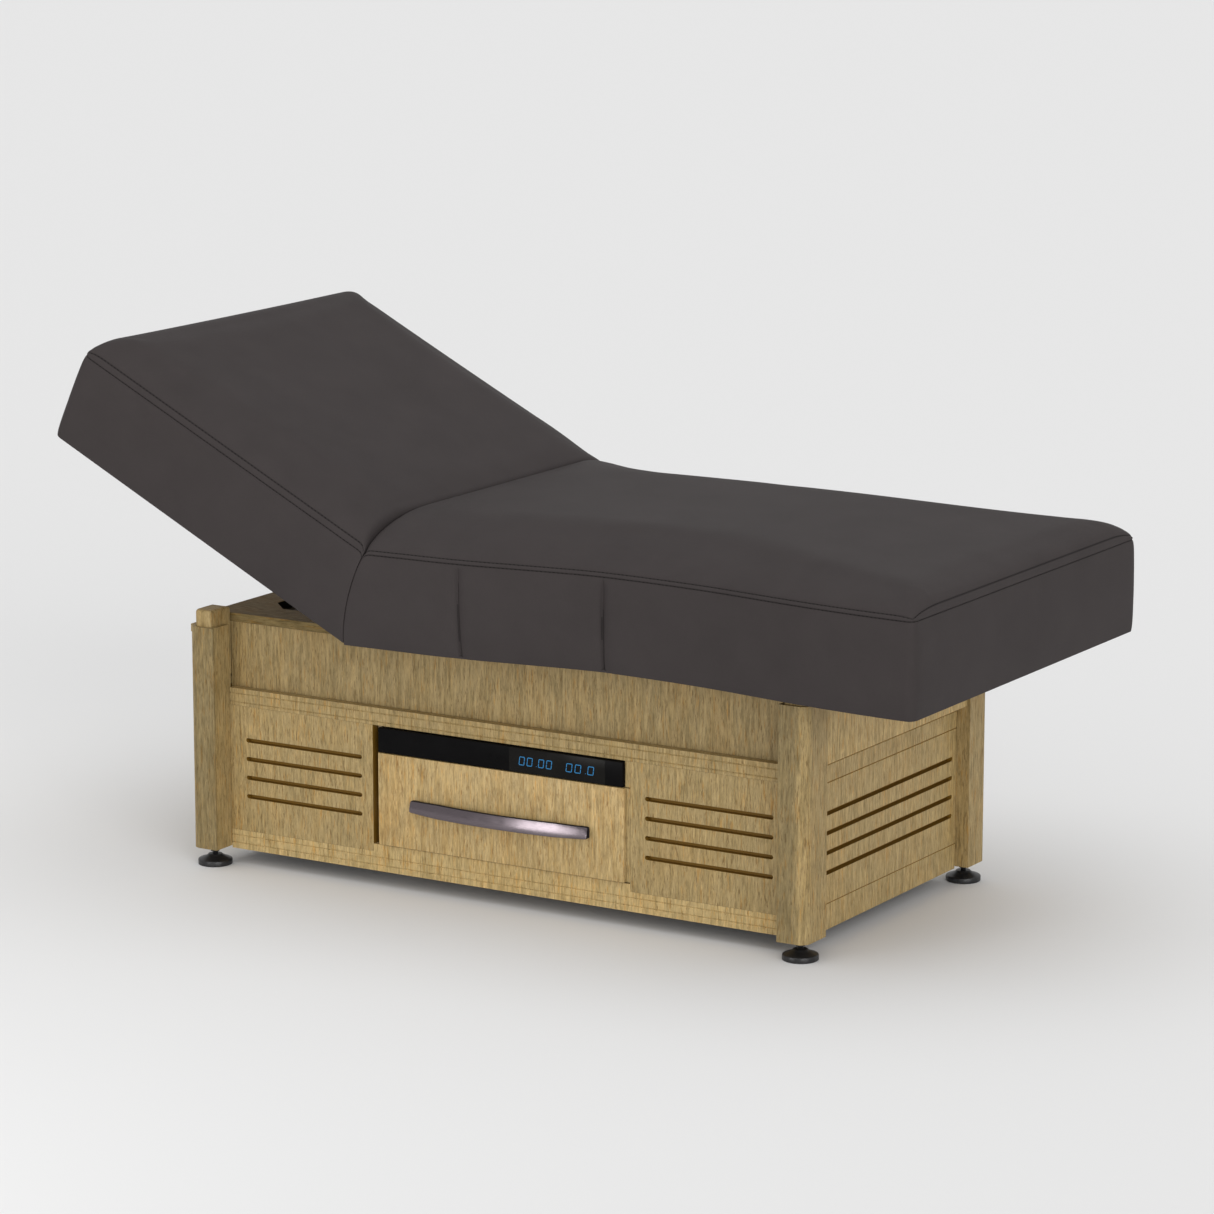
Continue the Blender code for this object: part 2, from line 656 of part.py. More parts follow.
def base_frame():
    """Steel tubes from end to end, welded to the folded cross members that carry the columns."""
    half, bore = TUBE / 2, TUBE / 2 - TUBE_WALL
    height = TUBE_BOTTOM + half
    reach = HALF_LENGTH - PANEL - FIT
    rails, members = bmesh.new(), bmesh.new()
    for side in (-1, 1):
        centre = (side * RAIL_Y, height)
        tube(rails, rectangle(half, half, centre), rectangle(bore, bore, centre), "X", -reach, reach)
    span = RAIL_Y - half + TUBE_WALL / 2
    for side in (-1, 1):
        for offset in (-CROSS_OFFSET, CROSS_OFFSET):
            x = side * COLUMN_X + offset
            section = [(x - half, TUBE_BOTTOM), (x - bore, TUBE_BOTTOM), (x - bore, TUBE_TOP - TUBE_WALL),
                       (x + bore, TUBE_TOP - TUBE_WALL), (x + bore, TUBE_BOTTOM), (x + half, TUBE_BOTTOM),
                       (x + half, TUBE_TOP), (x - half, TUBE_TOP)]
            prism(members, section, "Y", -span, span)
    frame = piece("base_frame", rails, "black_steel", "base")
    combine(frame, members, "base", "UNION")


def lifting_columns():
    """Square telescopic columns: the outer tube on its flange, the inner one under its plate."""
    floor = TUBE_TOP + FIT
    half, bore = COLUMN_OUTER / 2, COLUMN_OUTER / 2 - COLUMN_WALL
    inner_half = bore - RUNNING
    inner_bore = inner_half - COLUMN_WALL
    spans = {"head": (-SHROUD_BACK_X + FIT, -HEAD_OPENING_END + PLATE_LAP),
             "foot": (COLUMN_X - PLATE_FOOT_HALF, COLUMN_X + PLATE_FOOT_HALF)}
    for name, side in ends():
        x = side * COLUMN_X
        outer, inner, motor = bmesh.new(), bmesh.new(), bmesh.new()
        tube(outer, rectangle(half, half, (x, 0.0)), rectangle(bore, bore, (x, 0.0)), "Z",
             floor + COLUMN_FLANGE / 2, COLUMN_TOP)
        column = piece("lift_column_outer_" + name, outer, "black_steel", "base")
        flange = box((x - COLUMN_FLANGE_HALF, -COLUMN_FLANGE_HALF, floor),
                     (x + COLUMN_FLANGE_HALF, COLUMN_FLANGE_HALF, floor + COLUMN_FLANGE))
        combine(column, flange, "base", "UNION")
        tube(inner, rectangle(inner_half, inner_half, (x, 0.0)),
             rectangle(inner_bore, inner_bore, (x, 0.0)), "Z", COLUMN_INNER_BOTTOM, PLATE_UNDER + PLATE / 2)
        slider = piece("lift_column_inner_" + name, inner, "black_steel", "lift")
        start, end = spans[name]
        combine(slider, box((start, -PLATE_HALF_WIDTH, PLATE_UNDER), (end, PLATE_HALF_WIDTH, TUCK)),
                "lift", "UNION")
        lift_motor(motor, (x, 0.0), half + FIT, floor + COLUMN_FLANGE + FIT)
        piece("lift_motor_" + name, motor, "black_plastic", "base")


def lift_motor(bm, centre, start, floor):
    """A gearbox on the column's flank with its motor lying along Y, as one closed form."""
    box_end = start + GEARBOX_DEPTH
    axis_height = floor + GEARBOX_HEIGHT / 2
    steps = 16
    square = [(centre[0] + GEARBOX_HALF * a, axis_height + GEARBOX_HEIGHT / 2 * b)
              for a, b in square_ring(steps)]
    round_ring = circle((centre[0], axis_height), MOTOR_RADIUS, steps)
    rings = [[bm.verts.new(lift_point(point, "Y", along)) for point in outline]
             for outline, along in ((square, start), (square, box_end), (round_ring, box_end),
                                    (round_ring, box_end + MOTOR_LENGTH))]
    close_loft(bm, rings)


def square_ring(steps):
    """Points round a unit square, one for each point of a circle of as many steps."""
    points = []
    for x, y in circle((0.0, 0.0), 1, steps):
        reach = max(abs(x), abs(y))
        points.append((x / reach, y / reach))
    return points


def drawer_case():
    """Case that carries the drawer's runners and the control box, open below and behind."""
    back = -CASE_FRONT_Y + CASE_DEPTH
    lid_under = CASE_LID_TOP - CASE_WALL
    half = OPENING_HALF + CASE_WALL
    foot = TUBE_TOP + FIT
    section = [(-half, foot), (-half, CASE_LID_TOP), (half, CASE_LID_TOP), (half, foot),
               (OPENING_HALF, foot), (OPENING_HALF, lid_under), (-OPENING_HALF, lid_under),
               (-OPENING_HALF, foot)]
    case = bmesh.new()
    prism(case, section, "Y", -CASE_FRONT_Y, back)
    piece("drawer_case", case, "board", "base")
    skin = OPENING_HALF - FIT
    bottom = DRAWER_BOTTOM + RUNNER_RISE
    top = bottom + RUNNER_HEIGHT
    section = [(skin, bottom), (skin, top), (skin - RUNNER_COVER, top),
               (skin - RUNNER_COVER, top - RUNNER_LIP), (skin - RUNNER_SKIN, top - RUNNER_LIP),
               (skin - RUNNER_SKIN, bottom + RUNNER_LIP), (skin - RUNNER_COVER, bottom + RUNNER_LIP),
               (skin - RUNNER_COVER, bottom)]
    for name, side in ends():
        runner = bmesh.new()
        prism(runner, mirrored(section, side), "Y", -CASE_FRONT_Y, -CASE_FRONT_Y + RUNNER_LENGTH)
        piece("drawer_runner_fixed_" + name, runner, "bright_steel", "base")


def drawer():
    """Drawer front, box and the runner halves that slide with it."""
    front = box((-FRONT_HALF, -FRONT_Y, OPENING_BOTTOM + FRONT_GAP), (FRONT_HALF, -FRONT_BACK_Y, FRONT_TOP))
    soften(piece("drawer_front", front, "veneer_front", "drawer"), EDGE_ROUND)
    start = -FRONT_BACK_Y + FIT
    end = start + DRAWER_DEPTH
    inside = DRAWER_HALF - DRAWER_SIDE
    tray = box((-DRAWER_HALF, start, DRAWER_BOTTOM), (DRAWER_HALF, end, DRAWER_SIDE_TOP))
    hollow = box((-inside, start + DRAWER_SIDE, DRAWER_BOTTOM + DRAWER_FLOOR),
                 (inside, end - DRAWER_SIDE, DRAWER_SIDE_TOP + OVERRUN))
    combine(piece("drawer_box", tray, "board", "drawer"), hollow, "drawer")
    slide_low = DRAWER_BOTTOM + RUNNER_RISE + RUNNER_LIP + FIT
    slide_high = DRAWER_BOTTOM + RUNNER_RISE + RUNNER_HEIGHT - RUNNER_LIP - FIT
    for name, side in ends():
        runner = box((side * (DRAWER_HALF + FIT), start, slide_low),
                     (side * (OPENING_HALF - FIT - RUNNER_SKIN - FIT), start + RUNNER_LENGTH, slide_high))
        piece("drawer_runner_moving_" + name, runner, "bright_steel", "drawer")


def handle_section(x):
    """Outer and inner faces, and half height, of the bowed handle at one place along it."""
    half = HANDLE_LENGTH / 2
    radius = (half * half + HANDLE_BOW * HANDLE_BOW) / (2 * HANDLE_BOW)
    rise = math.sqrt(radius * radius - x * x) - (radius - HANDLE_BOW)
    seat = -FRONT_Y - FIT
    share = 1 - abs(x) / half
    tall = HANDLE_TALL_END + (HANDLE_TALL_MIDDLE - HANDLE_TALL_END) * min(1, 3 * share)
    outer = seat - rise - HANDLE_THICKNESS
    return outer, seat - rise, tall / 2


def drawer_handle():
    """A flat bar bowed away from the drawer, solid where its two ends meet the front."""
    half = HANDLE_LENGTH / 2
    span = half - HANDLE_FOOT
    step = HANDLE_ROUND / 4
    xs = [-half, -span - step] + [-span + 2 * span * i / HANDLE_STATIONS for i in range(HANDLE_STATIONS + 1)]
    xs += [span + step, half]
    bm = bmesh.new()
    rings = []
    for x in xs:
        outer, inner, tall = handle_section(x)
        if abs(x) > span:
            inner = -FRONT_Y - FIT
        r = HANDLE_ROUND
        section = [(outer + r, -tall), (inner - r, -tall), (inner, -tall + r), (inner, tall - r),
                   (inner - r, tall), (outer + r, tall), (outer, tall - r), (outer, -tall + r)]
        rings.append([bm.verts.new((HANDLE_MIDDLE + x, y, HANDLE_HEIGHT + z)) for y, z in section])
    for lower, upper in zip(rings, rings[1:]):
        for corner in range(len(lower)):
            bm.faces.new((lower[corner - 1], lower[corner], upper[corner], upper[corner - 1]))
    bm.faces.new(rings[0])
    bm.faces.new(rings[-1])
    piece("drawer_handle", bm, "gunmetal", "drawer")


def control_unit():
    """Black strip over the drawer with its display pane, and the electronics box behind it."""
    top = OPENING_TOP - STRIP_DROP
    bottom = FRONT_TOP + FRONT_GAP
    strip = piece("control_strip", box((-FRONT_HALF, -FRONT_Y, bottom), (FRONT_HALF, -FRONT_BACK_Y, top)),
                  "black_plastic", "base")
    soften(strip, EDGE_ROUND)
    end = DISPLAY_START + DISPLAY_LENGTH
    low, high = bottom + DISPLAY_MARGIN, top - DISPLAY_MARGIN
    combine(strip, box((DISPLAY_START - FIT, -FRONT_Y - OVERRUN, low - FIT),
                       (end + FIT, -FRONT_Y + DISPLAY_THICKNESS + FIT, high + FIT)), "base")
    piece("control_display", box((DISPLAY_START, -FRONT_Y, low), (end, -FRONT_Y + DISPLAY_THICKNESS, high)),
          "display_glass", "base")
    lid_under = CASE_LID_TOP - CASE_WALL
    start = -FRONT_BACK_Y + FIT
    piece("control_box", box((-CONTROL_HALF, start, bottom), (CONTROL_HALF, start + CONTROL_DEPTH,
                                                             lid_under - FIT)), "black_plastic", "base")


def shroud():
    """The box that lifts, hung under the top board: front with a notch, rear, and both ends."""
    notch = APRON_TOP + FIT
    outline = [(-SHROUD_X, SHROUD_BOTTOM), (-ALCOVE_X, SHROUD_BOTTOM), (-ALCOVE_X, notch), (ALCOVE_X, notch),
               (ALCOVE_X, SHROUD_BOTTOM), (SHROUD_X, SHROUD_BOTTOM), (SHROUD_X, TUCK), (-SHROUD_X, TUCK)]
    front = bmesh.new()
    prism(front, outline, "Y", -SHROUD_Y, -SHROUD_BACK_Y)
    piece("shroud_front", front, "veneer", "lift")
    rear = box((-SHROUD_X, SHROUD_BACK_Y, SHROUD_BOTTOM), (SHROUD_X, SHROUD_Y, TUCK))
    piece("shroud_rear", rear, "veneer", "lift")
    for name, side in ends():
        batten = SHROUD_X + SKIRT_BATTEN
        section = [(SHROUD_BACK_X, SHROUD_BOTTOM), (SHROUD_X, SHROUD_BOTTOM), (SHROUD_X, SKIRT_LOW),
                   (batten, SKIRT_LOW), (batten, TUCK), (SHROUD_BACK_X, TUCK)]
        panel = bmesh.new()
        prism(panel, mirrored(section, side), "Y", -SHROUD_BACK_Y + FIT, SHROUD_BACK_Y - FIT)
        combine(piece("shroud_end_" + name, panel, "veneer", "lift"), end_skirt(side), "lift", "UNION")


def alcove():
    """Niche in the shroud that passes round the drawer case as the top rises."""
    outer = ALCOVE_X + ALCOVE_WALL
    start = -SHROUD_BACK_Y + FIT
    back = -CASE_FRONT_Y + CASE_DEPTH + ALCOVE_CLEARANCE
    niche = box((-outer, start, SHROUD_BOTTOM), (outer, back + ALCOVE_WALL, ALCOVE_CEILING))
    hollow = box((-ALCOVE_X, start - OVERRUN, SHROUD_BOTTOM - OVERRUN),
                 (ALCOVE_X, back, ALCOVE_CEILING - ALCOVE_WALL))
    combine(piece("drawer_alcove", niche, "board", "lift"), hollow, "lift")


def end_skirt(side):
    """Channel-shaped cladding of the shroud's end, level with the posts' outer faces."""
    outer = HALF_LENGTH + BOARD_REACH
    inner = SHROUD_X + FIT
    bottom = SKIRT_LOW
    back = outer - PANEL
    section = [(inner, bottom), (outer, bottom), (outer, TUCK), (inner, TUCK), (inner, TUCK - CASE_WALL),
               (back, TUCK - CASE_WALL), (back, bottom + CASE_WALL), (inner, bottom + CASE_WALL)]
    bm = bmesh.new()
    prism(bm, mirrored(section, side), "Y", -SKIRT_END_Y, SKIRT_END_Y)
    return bm


def top_board():
    """Board over the shroud, with an opening at the head end and a well for the lever."""
    reach = HALF_LENGTH + BOARD_REACH
    board = piece("top_board", box((-reach, -SHROUD_Y, BOARD_UNDER), (reach, SHROUD_Y, BOARD_TOP)),
                  "veneer", "lift")
    start, end, half, cut = -HEAD_OPENING_START, -HEAD_OPENING_END, HEAD_OPENING_HALF, HEAD_OPENING_CHAMFER
    opening = [(start + cut, -half), (end - cut, -half), (end, -half + cut), (end, half - cut),
               (end - cut, half), (start + cut, half), (start, half - cut), (start, -half + cut)]
    holes = bmesh.new()
    prism(holes, opening, "Z", BOARD_UNDER - OVERRUN, BOARD_TOP + OVERRUN)
    cuboid(holes, (HINGE_X - LEVER_WELL_HALF, -LEVER_WELL_WIDTH, BOARD_UNDER - OVERRUN),
           (HINGE_X + LEVER_WELL_HALF, LEVER_WELL_WIDTH, BOARD_TOP + OVERRUN))
    combine(board, holes, "lift")


def hinge():
    """Shaft that the back section turns with, and the bearings on the top board."""
    steps = 20
    shaft = bmesh.new()
    prism(shaft, circle((0.0, 0.0), SHAFT_RADIUS, steps), "Y", -SHAFT_HALF, SHAFT_HALF)
    piece("hinge_shaft", shaft, "bright_steel", "backrest", in_body_frame=True)
    foot = BOARD_TOP + FIT
    top = HINGE_HEIGHT + BEARING_TOP
    shoulder = BEARING_HALF / 2
    section = [(HINGE_X - BEARING_HALF, foot), (HINGE_X + BEARING_HALF, foot),
               (HINGE_X + BEARING_HALF, top - shoulder / 2), (HINGE_X + shoulder, top),
               (HINGE_X - shoulder, top), (HINGE_X - BEARING_HALF, top - shoulder / 2)]
    for name, side in sides():
        near, far = side * BEARING_Y - BEARING_WIDTH / 2, side * BEARING_Y + BEARING_WIDTH / 2
        bearing, bore = bmesh.new(), bmesh.new()
        prism(bearing, section, "Y", near, far)
        prism(bore, circle((HINGE_X, HINGE_HEIGHT), SHAFT_RADIUS + FIT, steps), "Y",
              near - OVERRUN, far + OVERRUN)
        combine(piece("hinge_bearing_" + name, bearing, "black_steel", "lift"), bore, "lift")


def seat_support():
    """Flat tubes along the top board, and the deck board that carries the seat cushion."""
    foot = BOARD_TOP + FIT
    deck_under = HINGE_HEIGHT - DECK_UNDER
    half_height = (deck_under - FIT - foot) / 2
    start = HINGE_X + SEAT_DECK_START
    for name, side in sides():
        centre = (side * BAR_Y, foot + half_height)
        rail = bmesh.new()
        tube(rail, rectangle(FLAT_BAR / 2, half_height, centre),
             rectangle(FLAT_BAR / 2 - SEAT_BAR_WALL, half_height - SEAT_BAR_WALL, centre), "X",
             start, SEAT_DECK_REACH - SEAT_BAR_INSET)
        piece("seat_rail_" + name, rail, "black_steel", "lift")
    piece("seat_deck", box((start, -DECK_HALF, deck_under), (SEAT_DECK_REACH, DECK_HALF, deck_under + DECK)),
          "board", "lift")


def back_support():
    """Flat bars that cradle the shaft, and the deck board of the back section, drawn flat."""
    top = -DECK_UNDER - FIT
    for name, side in sides():
        near, far = side * BAR_Y - FLAT_BAR / 2, side * BAR_Y + FLAT_BAR / 2
        bar = box((BACK_RAIL_INSET - BACK_DECK_END, near, top - FLAT_BAR_HEIGHT), (BACK_RAIL_TOE, far, top))
        rail = piece("back_rail_" + name, bar, "black_steel", "backrest", in_body_frame=True)
        bore = bmesh.new()
        prism(bore, circle((0.0, 0.0), SHAFT_RADIUS + FIT, 20), "Y", near - OVERRUN, far + OVERRUN)
        combine(rail, bore, "backrest", in_body_frame=True)
    deck = box((-BACK_DECK_END, -DECK_HALF, -DECK_UNDER),
               (-BACK_DECK_START, DECK_HALF, -DECK_UNDER + DECK))
    piece("back_deck", deck, "board", "backrest", in_body_frame=True)


def tilt_lever():
    """Fork on the shaft: two slotted plates with a hub between them. The cross pin slides in the slots."""
    plates, hub, slots = bmesh.new(), bmesh.new(), bmesh.new()
    outline = (arc((0.0, 0.0), LEVER_BOSS, 0, 180, 12) + [(-LEVER_HALF, -SLOT_NEAR + LEVER_HALF)]
               + arc((0.0, -SLOT_FAR), LEVER_HALF, 180, 360, 12) + [(LEVER_HALF, -SLOT_NEAR + LEVER_HALF)])
    slot_half = PIN_RADIUS + PIN_PLAY
    slot = arc((0.0, -SLOT_NEAR), slot_half, 0, 180, 10) + arc((0.0, -SLOT_FAR), slot_half, 180, 360, 10)
    outer = LEVER_INNER + LEVER_PLATE
    for side in (-1, 1):
        prism(plates, outline, "Y", side * LEVER_INNER, side * outer)
    prism(hub, circle((0.0, 0.0), LEVER_BOSS), "Y", -LEVER_INNER - LEVER_PLATE / 2,
          LEVER_INNER + LEVER_PLATE / 2)
    prism(slots, slot, "Y", -outer - OVERRUN, outer + OVERRUN)
    prism(slots, circle((0.0, 0.0), SHAFT_RADIUS + FIT, 20), "Y", -outer - OVERRUN, outer + OVERRUN)
    swing = Matrix.Rotation(-LEVER_PLUMB, 4, "Y")
    for bm in (plates, hub, slots):
        bmesh.ops.transform(bm, matrix=swing, verts=bm.verts)
    lever = piece("tilt_lever", plates, "black_steel", "backrest", in_body_frame=True)
    combine(lever, hub, "backrest", "UNION", in_body_frame=True)
    combine(lever, slots, "backrest", in_body_frame=True)


def pin_place():
    """Where the cross pin stands along X with the back at its rest tilt."""
    return HINGE_X - LEVER_DROP * math.tan(REST_TILT - LEVER_PLUMB)


def tilt_actuator():
    """Linear actuator slung under the top board: tube, gearbox and motor, and its two saddles."""
    height = HINGE_HEIGHT - LEVER_DROP
    body = bmesh.new()
    prism(body, circle((0.0, height), ACTUATOR_RADIUS), "X", ACTUATOR_START, ACTUATOR_END + OVERRUN)
    actuator = piece("tilt_actuator", body, "black_plastic", "lift")
    gearbox = box((ACTUATOR_END, -ACTUATOR_BOX_HALF, height - ACTUATOR_BOX_HALF),
                  (ACTUATOR_END + ACTUATOR_BOX, DRIVE_MOTOR_OFFSET + ACTUATOR_BOX_HALF,
                   height + ACTUATOR_BOX_HALF))
    combine(actuator, gearbox, "lift", "UNION")
    motor = bmesh.new()
    prism(motor, circle((DRIVE_MOTOR_OFFSET, height), DRIVE_MOTOR_RADIUS), "X",
          ACTUATOR_END - DRIVE_MOTOR_LENGTH, ACTUATOR_END + OVERRUN)
    combine(actuator, motor, "lift", "UNION")
    bore = bmesh.new()
    prism(bore, circle((0.0, height), ROD_RADIUS + FIT), "X", ACTUATOR_START - OVERRUN, ACTUATOR_BORE_END)
    combine(actuator, bore, "lift")
    saddle, ring = bmesh.new(), bmesh.new()
    low = height - ACTUATOR_RADIUS - SADDLE_FOOT
    end = SADDLE_FOOT_X + SADDLE
    section = [(SADDLE_HEAD_X, low), (SADDLE_HEAD_X + SADDLE, low), (SADDLE_HEAD_X + SADDLE, PLATE_UNDER),
               (SADDLE_FOOT_X, PLATE_UNDER), (SADDLE_FOOT_X, low), (end, low), (end, TUCK),
               (SADDLE_HEAD_X, TUCK)]
    prism(saddle, section, "Y", -SADDLE_HALF, SADDLE_HALF)
    prism(ring, circle((0.0, height), ACTUATOR_RADIUS + FIT), "X", ACTUATOR_START, ACTUATOR_END)
    combine(piece("actuator_saddle", saddle, "black_steel", "lift"), ring, "lift")


def tilt_rod():
    """The actuator's rod with its eye and the cross pin pressed through it."""
    height = HINGE_HEIGHT - LEVER_DROP
    pin_x = pin_place()
    rod = bmesh.new()
    prism(rod, circle((0.0, height), ROD_RADIUS), "X", pin_x + EYE_NOSE, ROD_TAIL)
    actuator_rod = piece("actuator_rod", rod, "bright_steel", "tilt_rod")
    eye = box((pin_x - EYE_NOSE, -EYE_HALF, height - EYE_HALF),
              (pin_x - EYE_NOSE + EYE_LENGTH, EYE_HALF, height + EYE_HALF))
    combine(actuator_rod, eye, "tilt_rod", "UNION")
    reach = LEVER_INNER + LEVER_PLATE + FIT
    profile = [(0.0, -reach - PIN_HEAD), (PIN_HEAD_RADIUS, -reach - PIN_HEAD), (PIN_HEAD_RADIUS, -reach),
               (PIN_RADIUS, -reach), (PIN_RADIUS, reach), (PIN_HEAD_RADIUS, reach),
               (PIN_HEAD_RADIUS, reach + PIN_HEAD), (0.0, reach + PIN_HEAD)]
    pin = bmesh.new()
    turned(pin, profile, 20)
    lay_across = Matrix.Translation((pin_x, 0.0, height)) @ Matrix.Rotation(math.pi / 2, 4, "X")
    bmesh.ops.transform(pin, matrix=lay_across, verts=pin.verts)
    combine(actuator_rod, pin, "tilt_rod", "UNION")


def crown_rise(distance):
    """Height of the upholstery over its top seam at a distance from the nearest edge."""
    share = min(1.0, max(0.0, distance / CROWN_RUN))
    return CROWN * math.sqrt(1 - (1 - share) ** 2)


def corner_inset(distance):
    """How far a rounded plan corner draws the side in at a distance from the end."""
    left = CUSHION_CORNER - min(distance, CUSHION_CORNER)
    return CUSHION_CORNER - math.sqrt(CUSHION_CORNER ** 2 - left ** 2)


def channel_inset(x):
    """How far the sewn vertical seams pull the side in."""
    return sum(CHANNEL_DEPTH * math.exp(-(3 * (x - seam) / CHANNEL_RUN) ** 2) for seam in CHANNEL_XS)


def cushion_ring(near, far, end_distance):
    """Section of a cushion across the table, as (y, height over the skirt's edge) pairs."""
    side = [(SIDE_DRAW, 0.0), (SIDE_DRAW / 4, SEAM_RISE / 8), (0.0, SEAM_RISE / 2),
            (SIDE_DRAW / 3, SEAM_RISE * 7 / 8), (SEAM_DRAW, SEAM_RISE)]
    top_shares = (0.07, 0.2, 0.45, 1.0)
    left = [(-near + inset, height) for inset, height in side]
    right = [(far - inset, height) for inset, height in side]
    crown_left, crown_right = [], []
    for share in top_shares:
        run = SEAM_DRAW + CROWN_RUN * share
        height = SEAM_RISE + crown_rise(min(CROWN_RUN * share, end_distance))
        crown_left.append((-near + run, height))
        crown_right.append((far - run, height))
    middle = [(0.0, SEAM_RISE + crown_rise(min(CROWN_RUN, end_distance)))]
    return left + crown_left + middle + crown_right[::-1] + right[::-1]


def waist_inset(share):
    """How far the near side is drawn in at a share of the seat cushion's length from its foot end."""
    places, depths = zip(*WAIST_SHARES)
    return WAIST * float(numpy.interp(share, places, depths))


def end_stations(length):
    """Places along a cushion that take up the rounding at its outer end."""
    shares = (0.0, 0.04, 0.13, 0.3, 0.6, 1.0)
    crown_shares = (0.1, 0.35, 0.75, 1.8)
    distances = [CUSHION_CORNER * share for share in shares]
    distances += [CUSHION_CORNER + CROWN_RUN * share for share in crown_shares]
    return [length - distance for distance in distances]


def seat_cushion_mesh():
    """Seat upholstery from the split to the foot end, along +X."""
    length = SEAT_REACH - SPLIT_X
    steady = [length * share for share in (0.0, 0.02, 0.05, 0.11, 0.31, 0.37, 0.5, 0.55, 0.62, 0.72, 0.8)]
    seams = [seam - SPLIT_X + CHANNEL_RUN * share for seam in CHANNEL_XS for share in CHANNEL_SHARES]
    bm = bmesh.new()
    rings = []
    for along in sorted(steady + seams + end_stations(length)):
        from_end = length - along
        inset = corner_inset(from_end) + channel_inset(SPLIT_X + along)
        near = CUSHION_HALF - inset - waist_inset(from_end / length)
        ring = cushion_ring(near, CUSHION_HALF - inset, min(from_end, CROWN_RUN * CROWN_AT_SPLIT + along))
        fade = max(0.0, 1 - along / LEAN_RUN)
        rings.append([bm.verts.new((SPLIT_X + along + SPLIT_SLOPE * height * fade, y, SKIRT_BOTTOM + height))
                      for y, height in ring])
    close_loft(bm, rings)
    return bm


def close_loft(bm, rings):
    for lower, upper in zip(rings, rings[1:]):
        for corner in range(len(lower)):
            bm.faces.new((lower[corner - 1], lower[corner], upper[corner], upper[corner - 1]))
    bm.faces.new(rings[0])
    bm.faces.new(rings[-1])


def split_face():
    """The seat's face at the split, seen in the back section's own frame: offset and slope."""
    lean = math.atan(SPLIT_SLOPE)
    at_hinge = SPLIT_X + SPLIT_SLOPE * SKIRT_DROP
    clear = (HINGE_X - at_hinge) * math.cos(lean) + FIT
    back_lean = lean - REST_TILT
    return -clear / math.cos(back_lean), math.tan(back_lean)


def back_cushion_mesh():
    """Back upholstery drawn flat, from the split along -X."""
    offset, slope = split_face()
    start = -(offset + slope * -SKIRT_DROP)
    length = BACK_LENGTH - start
    steady = [length * share for share in (0.0, 0.04, 0.1, 0.2, 0.35, 0.5, 0.62)]
    bm = bmesh.new()
    rings = []
    for along in sorted(steady + end_stations(length)):
        from_end = length - along
        inset = corner_inset(from_end)
        near = CUSHION_HALF - inset - BACK_WAIST
        ring = cushion_ring(near, CUSHION_HALF - inset, min(from_end, CROWN_RUN * CROWN_AT_SPLIT + along))
        fade = max(0.0, 1 - along / LEAN_RUN)
        rings.append([bm.verts.new((-start - along + slope * height * fade, y, height - SKIRT_DROP))
                      for y, height in ring])
    close_loft(bm, rings)
    return bm


def fold_region(shift):
    """The part of the back cushion that would meet the seat as the back rises, as a wedge."""
    lean = MAX_TILT + FOLD_MARGIN - math.atan(SPLIT_SLOPE)
    edge = (FOLD_GAP - split_face()[0]) / math.cos(lean) + shift
    top = SEAM_RISE + CROWN + OVERRUN
    outline = [(-edge, -SKIRT_DROP - OVERRUN), (-edge, 0.0), (-edge - math.tan(lean) * top, top),
               (SEAM_RISE, top), (SEAM_RISE, -SKIRT_DROP - OVERRUN)]
    bm = bmesh.new()
    prism(bm, outline, "Y", -CUSHION_HALF - SEAM_RISE, CUSHION_HALF + SEAM_RISE)
    return bm


def pocket(start, end, rise):
    """Hollow under a cushion that its deck board fills."""
    return box((start, -POCKET_HALF, rise - DECK - SKIRT_DROP - OVERRUN), (end, POCKET_HALF, rise))


def cushions():
    """Crowned upholstery in two sections, and the soft wedge that folds between them."""
    seat = piece("seat_cushion", seat_cushion_mesh(), "charcoal_vinyl", "lift")
    combine(seat, pocket(SPLIT_X - OVERRUN, SEAT_DECK_REACH + POCKET_END, HINGE_HEIGHT + POCKET_RISE), "lift")
    far_end = -BACK_DECK_END - POCKET_END
    back = piece("back_cushion", back_cushion_mesh(), "charcoal_vinyl", "backrest", in_body_frame=True)
    combine(back, pocket(far_end, OVERRUN, POCKET_RISE), "backrest", in_body_frame=True)
    combine(back, fold_region(FIT), "backrest", in_body_frame=True)
    fold = piece("back_cushion_fold", back_cushion_mesh(), "charcoal_vinyl", "backrest", in_body_frame=True)
    combine(fold, pocket(far_end, OVERRUN, POCKET_RISE), "backrest", in_body_frame=True)
    combine(fold, fold_region(0.0), "backrest", "INTERSECT", in_body_frame=True)


def centre_on_floor(root):
    """Slide the whole table over the floor so that the origin lies under the middle of its box."""
    bpy.context.view_layer.update()
    graph = bpy.context.evaluated_depsgraph_get()
    places = []
    for found in bpy.context.scene.objects:
        if found.type == "MESH" and not found.hide_render:
            solid = found.evaluated_get(graph)
            places += [solid.matrix_world @ vert.co for vert in solid.data.vertices]
    for axis in (0, 1):
        reach = [place[axis] for place in places]
        root.location[axis] = -(min(reach) + max(reach)) / 2
    bpy.context.view_layer.update()


